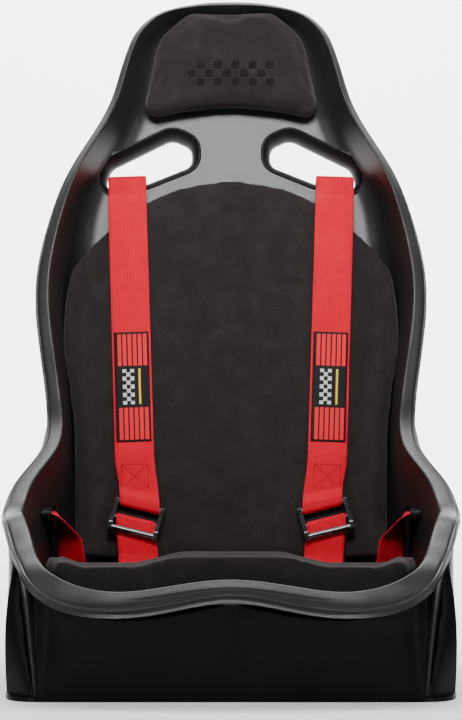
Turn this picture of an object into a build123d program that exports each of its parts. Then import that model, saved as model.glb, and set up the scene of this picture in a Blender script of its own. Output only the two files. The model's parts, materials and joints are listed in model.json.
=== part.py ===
"""Racing bucket seat with clip-on pads and a four-point harness.

Frame: X is sideways (X = 0 is the plane of symmetry), the seat faces -Y, +Z is up.
The origin is on the floor plane, under the middle of the pan.
Lengths are millimetres and angles are degrees.
"""
from build123d import *
import math
import os

os.makedirs("parts", exist_ok=True)

# ---------------------------------------------------------------- driving dimensions
# side profile of the bucket
recline = 15.0            # back panel from the vertical
pan_rise = 10.0           # pan from the horizontal, rising to the front
back_foot = (105.0, 60.0)     # a point (y, z) on the back line
pan_foot = (40.0, 60.0)       # a point (y, z) on the pan line
root_radius = 100.0       # bend between back and pan
pivot = (-200.0, 400.0)   # line (y, z) that the bend's sections fan about

# walls
skin = 4.5                # front shell
rim_drop = 7.0            # the rim falls outwards by this much
rim_thick = 8.0
rear_gap = 20.0           # back panel to the inside of the rear shell
rear_skin = 4.0
skirt_skin = 5.0
seam = 0.5                # gap between neighbouring shells
rim_gap = 3.0             # gap between the rim's underside and the skirt

# bucket sections from the top of the back to the front of the pan:
# zone, place, wall depth, half width at the rim, half width of the panel, rim width, corner radius
bucket = [
    ("back", 848, 33, 86, 66, 15, 14),
    ("back", 838, 34, 108, 86, 15, 16),
    ("back", 812, 38, 129, 106, 15, 18),
    ("back", 770, 42, 144, 120, 16, 20),
    ("back", 720, 48, 158, 132, 17, 18),
    ("back", 670, 60, 181, 156, 18, 16),
    ("back", 610, 75, 213, 186, 19, 16),
    ("back", 540, 88, 236, 198, 20, 30),
    ("back", 465, 98, 249, 204, 20, 45),
    ("back", 380, 105, 243, 199, 20, 45),
    ("bend", 15, 110, 232, 190, 20, 45),
    ("bend", 30, 155, 236, 192, 22, 60),
    ("bend", 45, 205, 264, 202, 25, 68),
    ("bend", 60, 165, 274, 212, 26, 60),
    ("bend", 75, 120, 268, 214, 26, 45),
    ("pan", -200, 72, 254, 208, 26, 35),
    ("pan", -240, 46, 242, 204, 25, 22),
    ("pan", -262, 34, 228, 196, 24, 16),
]
top_rim = [
    ("back", 848, 33, 86, 66, 15, 14),
    ("back", 854, 32, 76, 56, 15, 14),
    ("back", 858, 30, 56, 36, 15, 14),
]
back_stations = bucket[:11]
front_y = -288.0          # front face of the lip
front_half = 196.0
lip_high = 20.0

# webbing and harness
web_width = 50.0
web_thick = 2.0
strap_slant = 2.1         # degrees, top end outwards
strap_foot = 115.7        # where a shoulder strap's line meets the foot of the back plane
bolt_places = [(-17, 405), (17, 405)]     # anchor bolts, beside and along the strap's line
bolt_hole = 4.2

# ---------------------------------------------------------------- side profile helpers
rc = math.cos(math.radians(recline))
rs = math.sin(math.radians(recline))
pan_slope = math.tan(math.radians(pan_rise))


def back_y(z):
    """Depth of the back line at a height."""
    return back_foot[0] + (z - back_foot[1]) * rs / rc


def pan_z(y):
    """Height of the pan line at a depth."""
    return pan_foot[1] - (y - pan_foot[0]) * pan_slope


# corner where the two lines meet, and the centre of the bend between them
corner_y = (back_foot[0] + (pan_foot[1] + pan_foot[0] * pan_slope - back_foot[1]) * rs / rc)
corner_y = corner_y / (1 + pan_slope * rs / rc)
corner = (corner_y, pan_z(corner_y))
half_turn = math.radians((90 + recline - pan_rise) / 2)
reach = root_radius / math.tan(half_turn)
tangent_back = (corner[0] + reach * rs, corner[1] + reach * rc)
bend_centre = (tangent_back[0] - root_radius * rc, tangent_back[1] + root_radius * rs)


def spine_reach(angle):
    """Distance from the fan pivot to the spine along a fan plane."""
    dy = math.cos(math.radians(angle))
    dz = -math.sin(math.radians(angle))
    to_back = (back_y(pivot[1]) - pivot[0]) / (dy - dz * rs / rc)
    to_pan = (pan_z(pivot[0]) - pivot[1]) / (dz + dy * pan_slope)
    along = (bend_centre[0] - pivot[0]) * dy + (bend_centre[1] - pivot[1]) * dz
    aside = (bend_centre[0] - pivot[0]) * dz - (bend_centre[1] - pivot[1]) * dy
    found = min(to_back, to_pan)
    if abs(aside) < root_radius:
        on_arc = along + math.sqrt(root_radius**2 - aside**2)
        on_z = pivot[1] + found * dz
        if on_z < tangent_back[1] and pivot[0] + found * dy > corner[0] - reach:
            found = on_arc
    return found


def station_plane(zone, place):
    """Section plane: local x is X, local y points into the seat."""
    if zone == "back":
        spine = (0, back_y(place), place)
        inward = (0, -rc, rs)
    elif zone == "bend":
        angle = math.radians(place)
        far = spine_reach(place)
        spine = (0, pivot[0] + far * math.cos(angle), pivot[1] - far * math.sin(angle))
        inward = (0, -math.cos(angle), math.sin(angle))
    else:
        spine = (0, place, pan_z(place))
        inward = (0, 0, 1)
    return Plane(origin=spine, x_dir=(1, 0, 0), z_dir=(0, -inward[2], inward[1]))


def both_sides(points):
    """Close a half outline, given on +X from top to bottom, with its mirror image."""
    return points + [(-x, y) for x, y in reversed(points)]


def hat_section(depth, half, panel, rim, radius):
    """Front shell: inner wall, rolled rim flange and skin."""
    inner = half - rim
    outer = [
        (inner, depth),
        (half, depth - rim_drop),
        (half, depth - rim_drop - rim_thick),
        (inner + skin, depth - rim_thick - 1),
        (panel + skin, -skin),
    ]
    points = both_sides(outer) + [(-panel, 0), (panel, 0)]
    radii = [0, 0, 0, 0, radius + skin, radius + skin, 0, 0, 0, 0, radius, radius]
    return points, radii


def full_section(depth, half, panel, rim, radius):
    """The hat section filled from wall to wall, for the closed ends."""
    outer = [
        (half - rim, depth),
        (half, depth - rim_drop),
        (half, depth - rim_drop - rim_thick),
        (panel + skin, -skin),
    ]
    return both_sides(outer), [0, 0, 0, radius, radius, 0, 0, 0]


def rear_section(depth, half, panel, rim, radius):
    """Rear shell skin, outside line and inside line."""
    lip = depth - rim_drop - rim_thick - seam
    outside = [(half - 1, lip), (panel + 14, -rear_gap - rear_skin)]
    inside = [(half - 1 - rear_skin, lip), (panel + 14 - rear_skin, -rear_gap)]
    points = both_sides(outside) + [(-x, y) for x, y in both_sides(inside)]
    turn = radius + 8
    return points, [0, turn, turn, 0, 0, turn - rear_skin, turn - rear_skin, 0]


def rear_full_section(depth, half, panel, rim, radius):
    """The rear shell filled from wall to wall, for its closed top."""
    outside = [(half - 1, depth - rim_drop - rim_thick - seam), (panel + 14, -rear_gap - rear_skin)]
    return both_sides(outside), [0, radius, radius, 0]


def cutter_section(depth, half, panel, rim, radius, grow):
    """Everything that the bucket covers, for trimming the skirt."""
    outer = [
        (half + 60, depth + 260),
        (half + 60, depth - rim_drop - rim_thick - grow - 16),
        (half, depth - rim_drop - rim_thick - grow),
        (half - rim + skin + grow, depth - rim_thick - 1 - grow),
        (panel + skin + grow, -skin - grow),
    ]
    return both_sides(outer), [0, 0, 0, 0, radius, radius, 0, 0, 0, 0]


def outline(plane, points, radii):
    """One closed filleted outline as a face."""
    with BuildSketch(plane) as face:
        with BuildLine():
            FilletPolyline(*points, radius=radii, close=True)
        make_face()
    return face.sketch


def lip_section(y, half, below=0.0, above=0.0):
    """Front lip: its crest rises in the middle and dips under the thighs."""
    waves = [(-1.0, 152), (-0.8, 137), (-0.6, 128), (-0.25, 134), (0, 141)]
    crest = [(half * x, z + above) for x, z in waves]
    crest = crest + [(-x, z) for x, z in reversed(crest[:-1])]
    under = [(x, z - above - lip_high - below) for x, z in crest]
    with BuildSketch(Plane(origin=(0, y, 0), x_dir=(1, 0, 0), z_dir=(0, -1, 0))) as face:
        with BuildLine():
            Spline(*crest)
            Line(crest[-1], under[-1])
            Spline(*reversed(under))
            Line(under[0], crest[0])
        make_face()
    return face.sketch


back_plane = Plane(origin=(0, *back_foot), x_dir=(1, 0, 0), z_dir=(0, -rc, rs))
pan_plane = Plane(origin=(0, *pan_foot), x_dir=(1, 0, 0), z_dir=(0, pan_slope, 1))

# shoulder slot on the back plane (x, distance up the back), left side
slot_points = [(-166, 574), (-157, 604), (-78, 645), (-55, 634), (-55, 611), (-112, 587)]
slot_radii = [9, 18, 16, 12, 12, 20]
slot_flare = 8.0
bezel_wall = 4.0
flange_thick = 2.5

# lap slot in the side wall at the hips, left side
lap_slot_at = (-226, 20, 198)
lap_slot_long = 58.0
lap_slot_high = 16.0
boss_places = [(-70, 740), (70, 740), (-165, 500), (165, 500), (-150, 300), (150, 300)]


def slot_sketch(side, level, grow):
    """Shoulder slot outline on the back plane; side is -1 for left and 1 for right."""
    points = [(-side * x, y) for x, y in slot_points]
    with BuildSketch(back_plane.offset(level)) as face:
        with BuildLine():
            FilletPolyline(*points, radius=slot_radii, close=True)
        make_face()
        if grow > 0:
            offset(amount=grow)
    return face.sketch


def lap_plane(side):
    """Plane square to the hip wall at the lap slot, local x along the slot."""
    x, y, z = lap_slot_at
    return Plane(origin=(-side * x, y, z), x_dir=(0, 1, 0), z_dir=(side, 0, 0))


def hung_plane(side, turn, x, w, v):
    """Plane on the edge of a strap: local x up the back, local y forwards."""
    origin = back_plane.from_local_coords(Vector(x, w, v))
    turned = math.radians(turn) * side
    up = Vector(math.sin(turned), rs * math.cos(turned), rc * math.cos(turned))
    forward = Vector(0, -rc, rs)
    return Plane(origin=origin, x_dir=up, z_dir=up.cross(forward))


def bucket_faces(section, stations, *extra):
    """One face for each station, made by a section function."""
    faces = []
    for zone, place, *sizes in stations:
        faces.append(outline(station_plane(zone, place), *section(*sizes, *extra)))
    return faces


def save(piece, name):
    """Label a finished piece and write it."""
    piece.label = name
    export_step(piece, f"parts/{name}.step")


sides = [("left", -1), ("right", 1)]

# ---------------------------------------------------------------- shoulder slot bezels
funnel_depth = 11.0
tube_end = rear_gap + rear_skin + 2
bezels = {}
for name, side in sides:
    with BuildPart() as bezel:
        extrude(slot_sketch(side, 0, slot_flare), amount=flange_thick)
        extrude(slot_sketch(side, 0, bezel_wall + 1.5), amount=-tube_end)
        loft([slot_sketch(side, flange_thick, slot_flare - 2), slot_sketch(side, -funnel_depth, 1.5)],
             mode=Mode.SUBTRACT)
        extrude(slot_sketch(side, -funnel_depth, 1.5), amount=-tube_end, mode=Mode.SUBTRACT)
    bezels[name] = bezel.part
    save(bezel.part, f"{name}_shoulder_bezel")

# ---------------------------------------------------------------- front shell
with BuildPart() as front_shell:
    loft(bucket_faces(hat_section, bucket))
    loft(bucket_faces(full_section, top_rim))
    loft([lip_section(bucket[-1][1], bucket[-1][3]), lip_section(front_y, front_half)])
    with BuildSketch(back_plane.offset(-skin + 1)):
        with Locations(*boss_places):
            Circle(7)
    extrude(amount=-(rear_gap - skin + 0.5))
    with BuildSketch(back_plane.offset(-skin - 1)):
        with Locations(*boss_places):
            Circle(1.7)
    extrude(amount=-rear_gap, mode=Mode.SUBTRACT)
    for name, side in sides:
        extrude(slot_sketch(side, 5, bezel_wall + 2), amount=-15, mode=Mode.SUBTRACT)
        add(bezels[name], mode=Mode.SUBTRACT)
        with BuildSketch(lap_plane(side)):
            SlotOverall(lap_slot_long, lap_slot_high)
        extrude(amount=22, both=True, mode=Mode.SUBTRACT)
save(front_shell.part, "front_shell")

# ---------------------------------------------------------------- rear shell
with BuildPart() as rear_shell:
    loft(bucket_faces(rear_section, back_stations))
    loft(bucket_faces(rear_full_section, top_rim))
    loft(bucket_faces(full_section, top_rim), mode=Mode.SUBTRACT)
    with BuildSketch(back_plane.offset(-rear_gap + 1)):
        with Locations(*boss_places):
            Circle(2.6)
    extrude(amount=-rear_gap, mode=Mode.SUBTRACT)
    for name, side in sides:
        extrude(slot_sketch(side, 0, bezel_wall + 2), amount=-2 * rear_gap, mode=Mode.SUBTRACT)
        edge = hung_plane(side, strap_slant, side * strap_foot, 0, 0)
        with BuildSketch(Plane(origin=edge.origin, x_dir=edge.z_dir, z_dir=edge.y_dir).offset(1 - rear_gap)):
            with Locations(*bolt_places):
                Circle(bolt_hole)
        extrude(amount=-rear_gap, mode=Mode.SUBTRACT)
save(rear_shell.part, "rear_shell")

# ---------------------------------------------------------------- base skirt
# height, half width, where the sides draw in, half width at the rear corners, rear face,
# then the front corner's x and y
skirt_levels = [
    (0, 257, 130, 232, 166, 222, -264), (60, 258, 130, 234, 171, 233, -252),
    (120, 260, 126, 236, 178, 238, -246), (180, 262, 112, 236, 186, 240, -242),
    (225, 262, 96, 226, 192, 238, -240), (285, 232, 80, 214, 203, 208, -240),
    (345, 222, 66, 203, 216, 198, -240),
]
skirt_front = -268.0
corner_back = -220.0      # the cut front corners end here
insert_ys = (-180, 110)   # side mounting threads
cross_ys = (-110, 110)    # base mounting threads
insert_z = 55.0
insert_r = 9.0
insert_long = 16.0
clear = 0.3


def skirt_face(z, half, draw_in, rear_half, rear, corner_x, corner_front, inset):
    """Plan outline of the skirt at a height, with cut front corners."""
    wide = half - inset
    points = [
        (160, skirt_front + inset),
        (corner_x - inset / 2, corner_front + inset),
        (wide, corner_back + inset / 2),
        (wide, draw_in),
        (rear_half - inset, rear - inset),
    ]
    return outline(Plane.XY.offset(z), both_sides(points), [60, 7, 9, 36, 30, 30, 36, 9, 7, 60])


def skirt_faces(inset):
    """The skirt's plan outlines from the floor up."""
    return [skirt_face(*level, inset) for level in skirt_levels]


def lip_cutter(y, half):
    """Everything above the underside of the front lip."""
    return lip_section(y, half, rim_gap, 300)


with BuildPart() as base_skirt:
    loft(skirt_faces(0))
    loft(skirt_faces(skirt_skin), mode=Mode.SUBTRACT)
    loft(bucket_faces(cutter_section, bucket[10:], rim_gap), mode=Mode.SUBTRACT)
    loft([lip_cutter(bucket[-1][1] + 0.5, bucket[-1][3] + 30), lip_cutter(front_y, front_half + 30)],
         mode=Mode.SUBTRACT)
    with BuildSketch(station_plane("bend", 15)):
        Rectangle(900, 900)
    extrude(amount=-400, mode=Mode.SUBTRACT)
    with BuildSketch(Plane.YZ):
        with Locations(*[(y, insert_z) for y in insert_ys]):
            Circle(insert_r + clear)
    extrude(amount=300, both=True, mode=Mode.SUBTRACT)
save(base_skirt.part, "base_skirt")

# ---------------------------------------------------------------- steel subframe
plate_x = 240.0
plate_thick = 3.0
tube_wide = 30.0
tube_high = 20.0
tube_wall = 2.0
tube_z = 34.0
base_x = 165.0
thread_r = 3.4            # M8 tapping radius
with BuildPart() as side_inserts:
    for name, side in sides:
        with BuildSketch(Plane.YZ.offset(side * (plate_x + plate_thick))):
            with Locations(*[(y, insert_z) for y in insert_ys]):
                Circle(insert_r)
                Circle(thread_r, mode=Mode.SUBTRACT)
        extrude(amount=side * insert_long)
save(side_inserts.part, "side_mount_inserts")

for name, side in sides:
    with BuildPart() as plate:
        with BuildSketch(Plane.YZ.offset(side * plate_x)):
            with Locations((-35, 54)):
                RectangleRounded(340, 48, 8)
            with Locations(*[(y, insert_z) for y in insert_ys], (20, 60)):
                Circle(5.2, mode=Mode.SUBTRACT)
        extrude(amount=side * plate_thick)
    save(plate.part, f"{name}_side_plate")

for name, y in [("front", cross_ys[0]), ("rear", cross_ys[1])]:
    with BuildPart() as crossmember:
        with BuildSketch(Plane.YZ.offset(-plate_x)):
            with Locations((y, tube_z)):
                RectangleRounded(tube_wide, tube_high, 3)
                RectangleRounded(tube_wide - 2 * tube_wall, tube_high - 2 * tube_wall, 1, mode=Mode.SUBTRACT)
        extrude(amount=2 * plate_x)
        with BuildSketch(Plane.XY.offset(tube_z - tube_high)):
            with Locations((-base_x, y), (base_x, y)):
                Circle(insert_r + 1)
        extrude(amount=tube_high - 1, mode=Mode.SUBTRACT)
    save(crossmember.part, f"{name}_crossmember")

with BuildPart() as base_inserts:
    with BuildSketch():
        with Locations(*[(x, y) for x in (-base_x, base_x) for y in cross_ys]):
            Circle(insert_r + 1)
            Circle(thread_r, mode=Mode.SUBTRACT)
    extrude(amount=tube_z - 1)
save(base_inserts.part, "base_mount_inserts")

# ---------------------------------------------------------------- pads
pad_gap = 1.5             # hook-and-loop layer between shell and pads
head_thick = 30.0
with BuildPart() as head_pad:
    head_points = [(58, 812), (98, 768), (124, 664), (0, 677)]
    with BuildSketch(back_plane.offset(pad_gap)):
        with BuildLine():
            FilletPolyline(*head_points, (-124, 664), (-98, 768), (-58, 812),
                           radius=[30, 60, 18, 250, 18, 60, 30], close=True)
        make_face()
    extrude(amount=head_thick)
    fillet(head_pad.faces().sort_by(Axis.Y)[0].edges(), 9)
save(head_pad.part, "head_pad")

# back pad: height, half width at the bolsters, bolster height
back_pad_levels = [
    (640, 178, 24.5), (540, 200, 34), (465, 211, 45), (380, 205, 47), (301, 196, 47), (225, 193, 44), (129, 190, 38),
]
arch_r = 228.0
arch_w = 352.0
pad_face = 23.3


def pad_section(plane, wide, middle, dip, high, lift):
    """Padded section with side bolsters: middle height, thigh height and bolster height."""
    tall = high - lift
    points = [
        (60, middle), (110, dip), (wide - 36, dip), (wide - 17, high), (wide - 4, high),
        (wide - 1, lift + 0.74 * tall), (wide - 15, lift + 0.36 * tall), (wide - 30, lift + 0.15 * tall),
        (wide - 50, lift + pad_gap),
    ]
    radii = [30, 20, 8, 6, 4, 4, 10, 10, 0]
    return outline(plane, both_sides(points), radii + radii[::-1])


with BuildPart() as back_pad:
    faces = []
    for z, wide, high in back_pad_levels:
        faces.append(pad_section(station_plane("back", z), wide, pad_face, pad_face - 0.5, high, 0.2))
    loft(faces)
    with BuildSketch(back_plane):
        with Locations((0, arch_w)):
            Circle(arch_r)
        with Locations((0, arch_w - 200)):
            Rectangle(2 * arch_r, 400)
    extrude(amount=60, mode=Mode.INTERSECT)
save(back_pad.part, "back_pad")

# seat cushion: depth, half width, middle, thigh, side and base lift
cushion_levels = [
    (75, 188, 50, 49, 56, 28), (50, 196, 43, 42, 50, 16), (20, 204, 33, 32, 46, 7), (-60, 213, 30, 29, 45, 1),
    (-140, 215, 42, 38, 56, 1), (-215, 217, 59, 48, 62, 1), (-246, 204, 59, 45, 52, 1),
]
with BuildPart() as seat_cushion:
    faces = []
    for y, wide, middle, thigh, high, lift in cushion_levels:
        faces.append(pad_section(station_plane("pan", y), wide, middle, thigh, high, lift))
    loft(faces, ruled=True)
save(seat_cushion.part, "seat_cushion")

# hook-and-loop patches, one layer thick
patch_thick = 1.0
patch_sets = {
    "head_pad_patches": [(-45, 740), (45, 740)],
    "back_pad_patches": [(-80, 500), (80, 500), (-80, 300), (80, 300), (0, 140)],
}
for name, places in patch_sets.items():
    with BuildPart() as patches:
        with BuildSketch(back_plane.offset(0.3)):
            with Locations(*places):
                RectangleRounded(50, 60, 6)
        extrude(amount=patch_thick)
    save(patches.part, name)
with BuildPart() as cushion_patches:
    with BuildSketch(pan_plane.offset(1.0)):
        with Locations((-90, -130), (90, -130), (-90, -245), (90, -245)):
            RectangleRounded(50, 50, 6)
    extrude(amount=patch_thick)
save(cushion_patches.part, "cushion_patches")

# ---------------------------------------------------------------- webbing helpers
half_web = web_width / 2
bar_w = 138.0             # adjuster top bar, distance up the back
bar_v = 30.8              # adjuster top bar, in front of the back panel
bar_r = 3.0
bar_shift = 5.0           # the adjuster sits this far inside the strap's line
bar_turn = -14.0          # the adjuster hangs with its inner end low
lower_turn = -1.0
loop_r = bar_r + 0.6 + web_thick / 2


def ribbon(plane, points, radii, width=web_width):
    """Webbing of even thickness along a path drawn on its edge."""
    with BuildSketch(plane) as face:
        with BuildLine():
            FilletPolyline(*points, radius=radii)
        trace(line_width=web_thick)
    return extrude(face.sketch, amount=width / 2, both=True)


def bar_plane(side, turn):
    """Edge plane through the adjuster's top bar."""
    x = side * (strap_foot - bar_shift + bar_w * math.tan(math.radians(strap_slant)))
    return hung_plane(side, turn, x, bar_w, bar_v)


# ---------------------------------------------------------------- shoulder straps
anchor_w = 440.0
anchor_v = -36.0
anchor_r = 4.0
rear_v = anchor_v + anchor_r + 0.5 + web_thick / 2
over_w = 588.5            # where the strap crosses the slot's lower edge
upper_path = [
    (495, -32.7), (470, -32.7), (454, -41.5), (434.5, -41.5), (434.5, rear_v), (over_w, rear_v),
    (over_w, 6.5), (574, 7), (562, 26), (226, 26), (208, 28.1), (172, 28.1),
]
upper_radii = [8, 8, 5.4, 5.4, 5, 5, 8, 14, 30, 30]
loop_path = [(67, -4.85), (-loop_r, -4.6), (-loop_r, 4.6), (8, 4.6), (34, -2.4), (67, -2.3)]
loop_radii = [4.55, 4.55, 8, 8]
mid_bar = -20.0
lower_loop = [(-66, -3.6), (-44, -4.6), (mid_bar + loop_r, -4.6), (mid_bar + loop_r, 4.6), (-44, 4.6), (-66, -1.7)]
lower_radii = [20, 4.55, 4.55, 20]
lower_run = [(-54, -2.65), (-94, -2.65), (-100.5, 21.5)]
tail_run = [(-54, -1.0), (-84, -0.9), (-90, 2.5)]
tab_z = 115.0
tab_path = [(76, tab_z - 3), (61.8, tab_z - 3), (61.8, tab_z + 3), (76, tab_z + 3), (84, tab_z + 1)]
for name, side in sides:
    with BuildPart() as shoulder_strap:
        add(ribbon(hung_plane(side, strap_slant, side * strap_foot, 0, 0), upper_path, upper_radii))
        add(ribbon(bar_plane(side, bar_turn), loop_path, loop_radii))
    save(shoulder_strap.part, f"{name}_shoulder_strap")

# cloth badge sewn on each shoulder strap
label_span = (231, 369)
label_thick = 0.6
strap_face = 26 + web_thick / 2
for name, side in sides:
    with BuildPart() as label:
        with BuildSketch(hung_plane(side, strap_slant, side * strap_foot, 0, 0)):
            with Locations((sum(label_span) / 2, strap_face + label_thick / 2)):
                Rectangle(label_span[1] - label_span[0], label_thick)
        extrude(amount=22.8, both=True)
    save(label.part, f"{name}_strap_label")

# ---------------------------------------------------------------- adjusters, lower straps, tabs
cheek_in = 27.0
cheek_out = 32.0
front_bar = (-36, 10.6)
front_bar_r = 4.2
cheek_shape = [(4, -4), (4, 4), (-30, 15), (-41, 15), (-41, 6), (-24, -4)]
adjuster_bars = [(0, 0, bar_r), (mid_bar, 0, bar_r), (*front_bar, front_bar_r)]
for name, side in sides:
    plane = bar_plane(side, bar_turn)
    with BuildPart() as adjuster:
        for start in (cheek_in, -cheek_out):
            with BuildSketch(plane.offset(start)):
                with BuildLine():
                    FilletPolyline(*cheek_shape, radius=2.5, close=True)
                make_face()
            extrude(amount=cheek_out - cheek_in)
        for along, out, radius in adjuster_bars:
            with BuildSketch(plane):
                with Locations((along, out)):
                    Circle(radius)
            extrude(amount=cheek_in + 1, both=True)
    save(adjuster.part, f"{name}_adjuster")

tab_high = 3.0
tab_length = 47.0
for name, side in sides:
    lower_plane = bar_plane(side, lower_turn)
    foot = lower_plane.from_local_coords(Vector(*lower_run[1], 0))
    edge_plane = Plane(origin=(foot.X, 0, 0), x_dir=(0, 1, 0), z_dir=(1, 0, 0))
    with BuildPart() as lower_strap:
        add(ribbon(bar_plane(side, bar_turn), lower_loop, lower_radii))
        add(ribbon(lower_plane, lower_run, [20]))
        add(ribbon(lower_plane, tail_run, [6]))
        add(ribbon(edge_plane, tab_path, [2.9, 2.9, 6]))
    save(lower_strap.part, f"{name}_lower_strap")
    with BuildPart() as tab:
        with BuildSketch(Plane.XY.offset(tab_z - tab_high / 2)):
            with Locations((foot.X, 71.5 - tab_length / 2)):
                RectangleRounded(60, tab_length, 5)
            with Locations((foot.X, 61.5)):
                RectangleRounded(52, 9.6, 2, mode=Mode.SUBTRACT)
            with Locations((foot.X, 36)):
                SlotOverall(22, 9, mode=Mode.SUBTRACT)
        extrude(amount=tab_high)
    save(tab.part, f"{name}_shoulder_tab")

# ---------------------------------------------------------------- hex fasteners
def hex_face(plane, places, across, hole):
    """Hexagons across the flats at places, with a round hole."""
    with BuildSketch(plane) as face:
        with Locations(*places):
            RegularPolygon(across / 2, 6, major_radius=False)
            if hole > 0:
                Circle(hole, mode=Mode.SUBTRACT)
    return face.sketch


def round_face(plane, places, radius):
    """Circles at places."""
    with BuildSketch(plane) as face:
        with Locations(*places):
            Circle(radius)
    return face.sketch


# ---------------------------------------------------------------- shoulder anchors behind the back
anchor_cheek = [(398, -24.3), (447, -24.3), (447, -42), (434, -42), (412, -27.3), (398, -27.3)]
web_out = -27.3
bolt_r = 3.9
anchor_faces = {}
for name, side in sides:
    edge = hung_plane(side, strap_slant, side * strap_foot, 0, 0)
    square = Plane(origin=edge.origin, x_dir=edge.z_dir, z_dir=edge.y_dir)
    anchor_faces[name] = square
    with BuildPart() as anchor:
        with BuildSketch(square.offset(web_out)):
            with Locations((0, 414)):
                Rectangle(62, 36)
            with Locations(*bolt_places):
                Circle(bolt_hole, mode=Mode.SUBTRACT)
        extrude(amount=3)
        for start in (cheek_in, -cheek_in - 4):
            with BuildSketch(edge.offset(start)):
                with BuildLine():
                    Polyline(*anchor_cheek, close=True)
                make_face()
            extrude(amount=4)
        with BuildSketch(edge):
            with Locations((anchor_w, anchor_v)):
                Circle(anchor_r)
        extrude(amount=cheek_in + 1, both=True)
    save(anchor.part, f"{name}_shoulder_anchor")

with BuildPart() as shoulder_bolts:
    for square in anchor_faces.values():
        extrude(hex_face(square.offset(web_out), bolt_places, 13, 0), amount=-5.3)
        extrude(round_face(square.offset(web_out), bolt_places, bolt_r), amount=17)
save(shoulder_bolts.part, "shoulder_anchor_bolts")
with BuildPart() as shoulder_nuts:
    for square in anchor_faces.values():
        extrude(hex_face(square.offset(-rear_gap), bolt_places, 13, bolt_r + 0.05), amount=5.5)
save(shoulder_nuts.part, "shoulder_anchor_nuts")

# ---------------------------------------------------------------- lap straps and their anchors
lap_y = lap_slot_at[1]
flat_z = 118.0            # lap straps lie at this height on the cushion
lap_bar = (238, 100)      # anchor bar, sideways and up
lap_path = [
    (241.4, 150), (241.4, 128), (232.5, 112), (232.5, 94.5), (243.5, 94.5), (243.5, 193),
    (236, 199), (213, 198), (204, 140), (194, flat_z), (160, flat_z),
]
lap_radii = [8, 8, 5.4, 5.4, 4, 5, 12, 12, 12]
buckle_y = -40.0
buckle_bar = (49.5, 117.5)
buckle_path = [
    (95, 119.9), (72, 119.9), (62, 120.6), (44.9, 120.6), (44.9, 114.4), (58, 114.4), (72, flat_z), (98, flat_z),
]
buckle_radii = [12, 12, 3, 3, 12, 12]
turn_in = (182, 20)       # where the lap strap starts to swing towards the buckle
turn_out = (84, buckle_y)
lap_cheek = [(237, 60), (240, 60), (240, 80), (243, 95), (243, 106), (233, 106), (233, 95), (237, 80)]
lap_bolt_hole = 5.2
lap_bolt_r = 4.9


def across_plane(side, y):
    """Plane across the seat: local x outwards, local y up."""
    return Plane(origin=(0, y, 0), x_dir=(side, 0, 0), z_dir=(0, -side, 0))


for name, side in sides:
    run_x = turn_out[0] - turn_in[0]
    run_y = turn_out[1] - turn_in[1]
    swing = math.degrees(math.atan2(run_y, side * run_x))
    middle = (side * (turn_in[0] + turn_out[0]) / 2, (turn_in[1] + turn_out[1]) / 2)
    with BuildPart() as lap_strap:
        add(ribbon(across_plane(side, lap_y), lap_path, lap_radii))
        add(ribbon(across_plane(side, buckle_y), buckle_path, buckle_radii))
        with BuildSketch(Plane.XY.offset(flat_z - web_thick / 2)):
            with Locations(Location((*middle, 0), (0, 0, swing))):
                Rectangle(math.hypot(run_x, run_y), web_width)
        extrude(amount=web_thick)
    save(lap_strap.part, f"{name}_lap_strap")

    with BuildPart() as lap_anchor:
        with BuildSketch(Plane.YZ.offset(side * 237)):
            with Locations((lap_y, 60)):
                Rectangle(62, 34)
                Circle(lap_bolt_hole, mode=Mode.SUBTRACT)
        extrude(amount=side * 3)
        for start in (cheek_in, -cheek_in - 4):
            with BuildSketch(across_plane(side, lap_y).offset(start)):
                with BuildLine():
                    Polyline(*lap_cheek, close=True)
                make_face()
            extrude(amount=4)
        with BuildSketch(across_plane(side, lap_y)):
            with Locations(lap_bar):
                Circle(anchor_r)
        extrude(amount=cheek_in + 1, both=True)
    save(lap_anchor.part, f"{name}_lap_anchor")

with BuildPart() as lap_bolts:
    for name, side in sides:
        inside = Plane.YZ.offset(side * 237)
        extrude(hex_face(inside, [(lap_y, 60)], 16, 0), amount=-side * 6.4)
        extrude(round_face(inside, [(lap_y, 60)], lap_bolt_r), amount=side * 11)
save(lap_bolts.part, "lap_anchor_bolts")
with BuildPart() as lap_nuts:
    for name, side in sides:
        extrude(hex_face(Plane.YZ.offset(side * 243), [(lap_y, 60)], 16, lap_bolt_r + 0.05), amount=side * 5)
save(lap_nuts.part, "lap_anchor_nuts")

# ---------------------------------------------------------------- lap slot bezels
for name, side in sides:
    with BuildPart() as lap_bezel:
        with BuildSketch(lap_plane(side)):
            SlotOverall(lap_slot_long - 0.6, lap_slot_high - 0.6)
            SlotOverall(lap_slot_long - 4, lap_slot_high - 4, mode=Mode.SUBTRACT)
        extrude(amount=6, both=True)
    save(lap_bezel.part, f"{name}_lap_bezel")

# ---------------------------------------------------------------- buckle
buckle = Plane(origin=(0, buckle_y, 112))
buckle_size = (64, 54)
tray_high = 11.0
tray_floor = 3.0
tray_wall = 3.0
cover_high = 3.0
screw_places = [(-26.5, -21.5), (-26.5, 21.5), (26.5, -21.5), (26.5, 21.5)]
button_r = 11.0
flange_r = 13.0
button_travel = 3.0
pawl_x = 26.0
pawl_z = 7.4
pawl_pin_r = 1.0
tongue_z = 4.0
tongue_thick = 2.0
bar_span = 60.0
window_span = 52.0
lug = (35, 52)            # lug from the tray's wall to its bar

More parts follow.
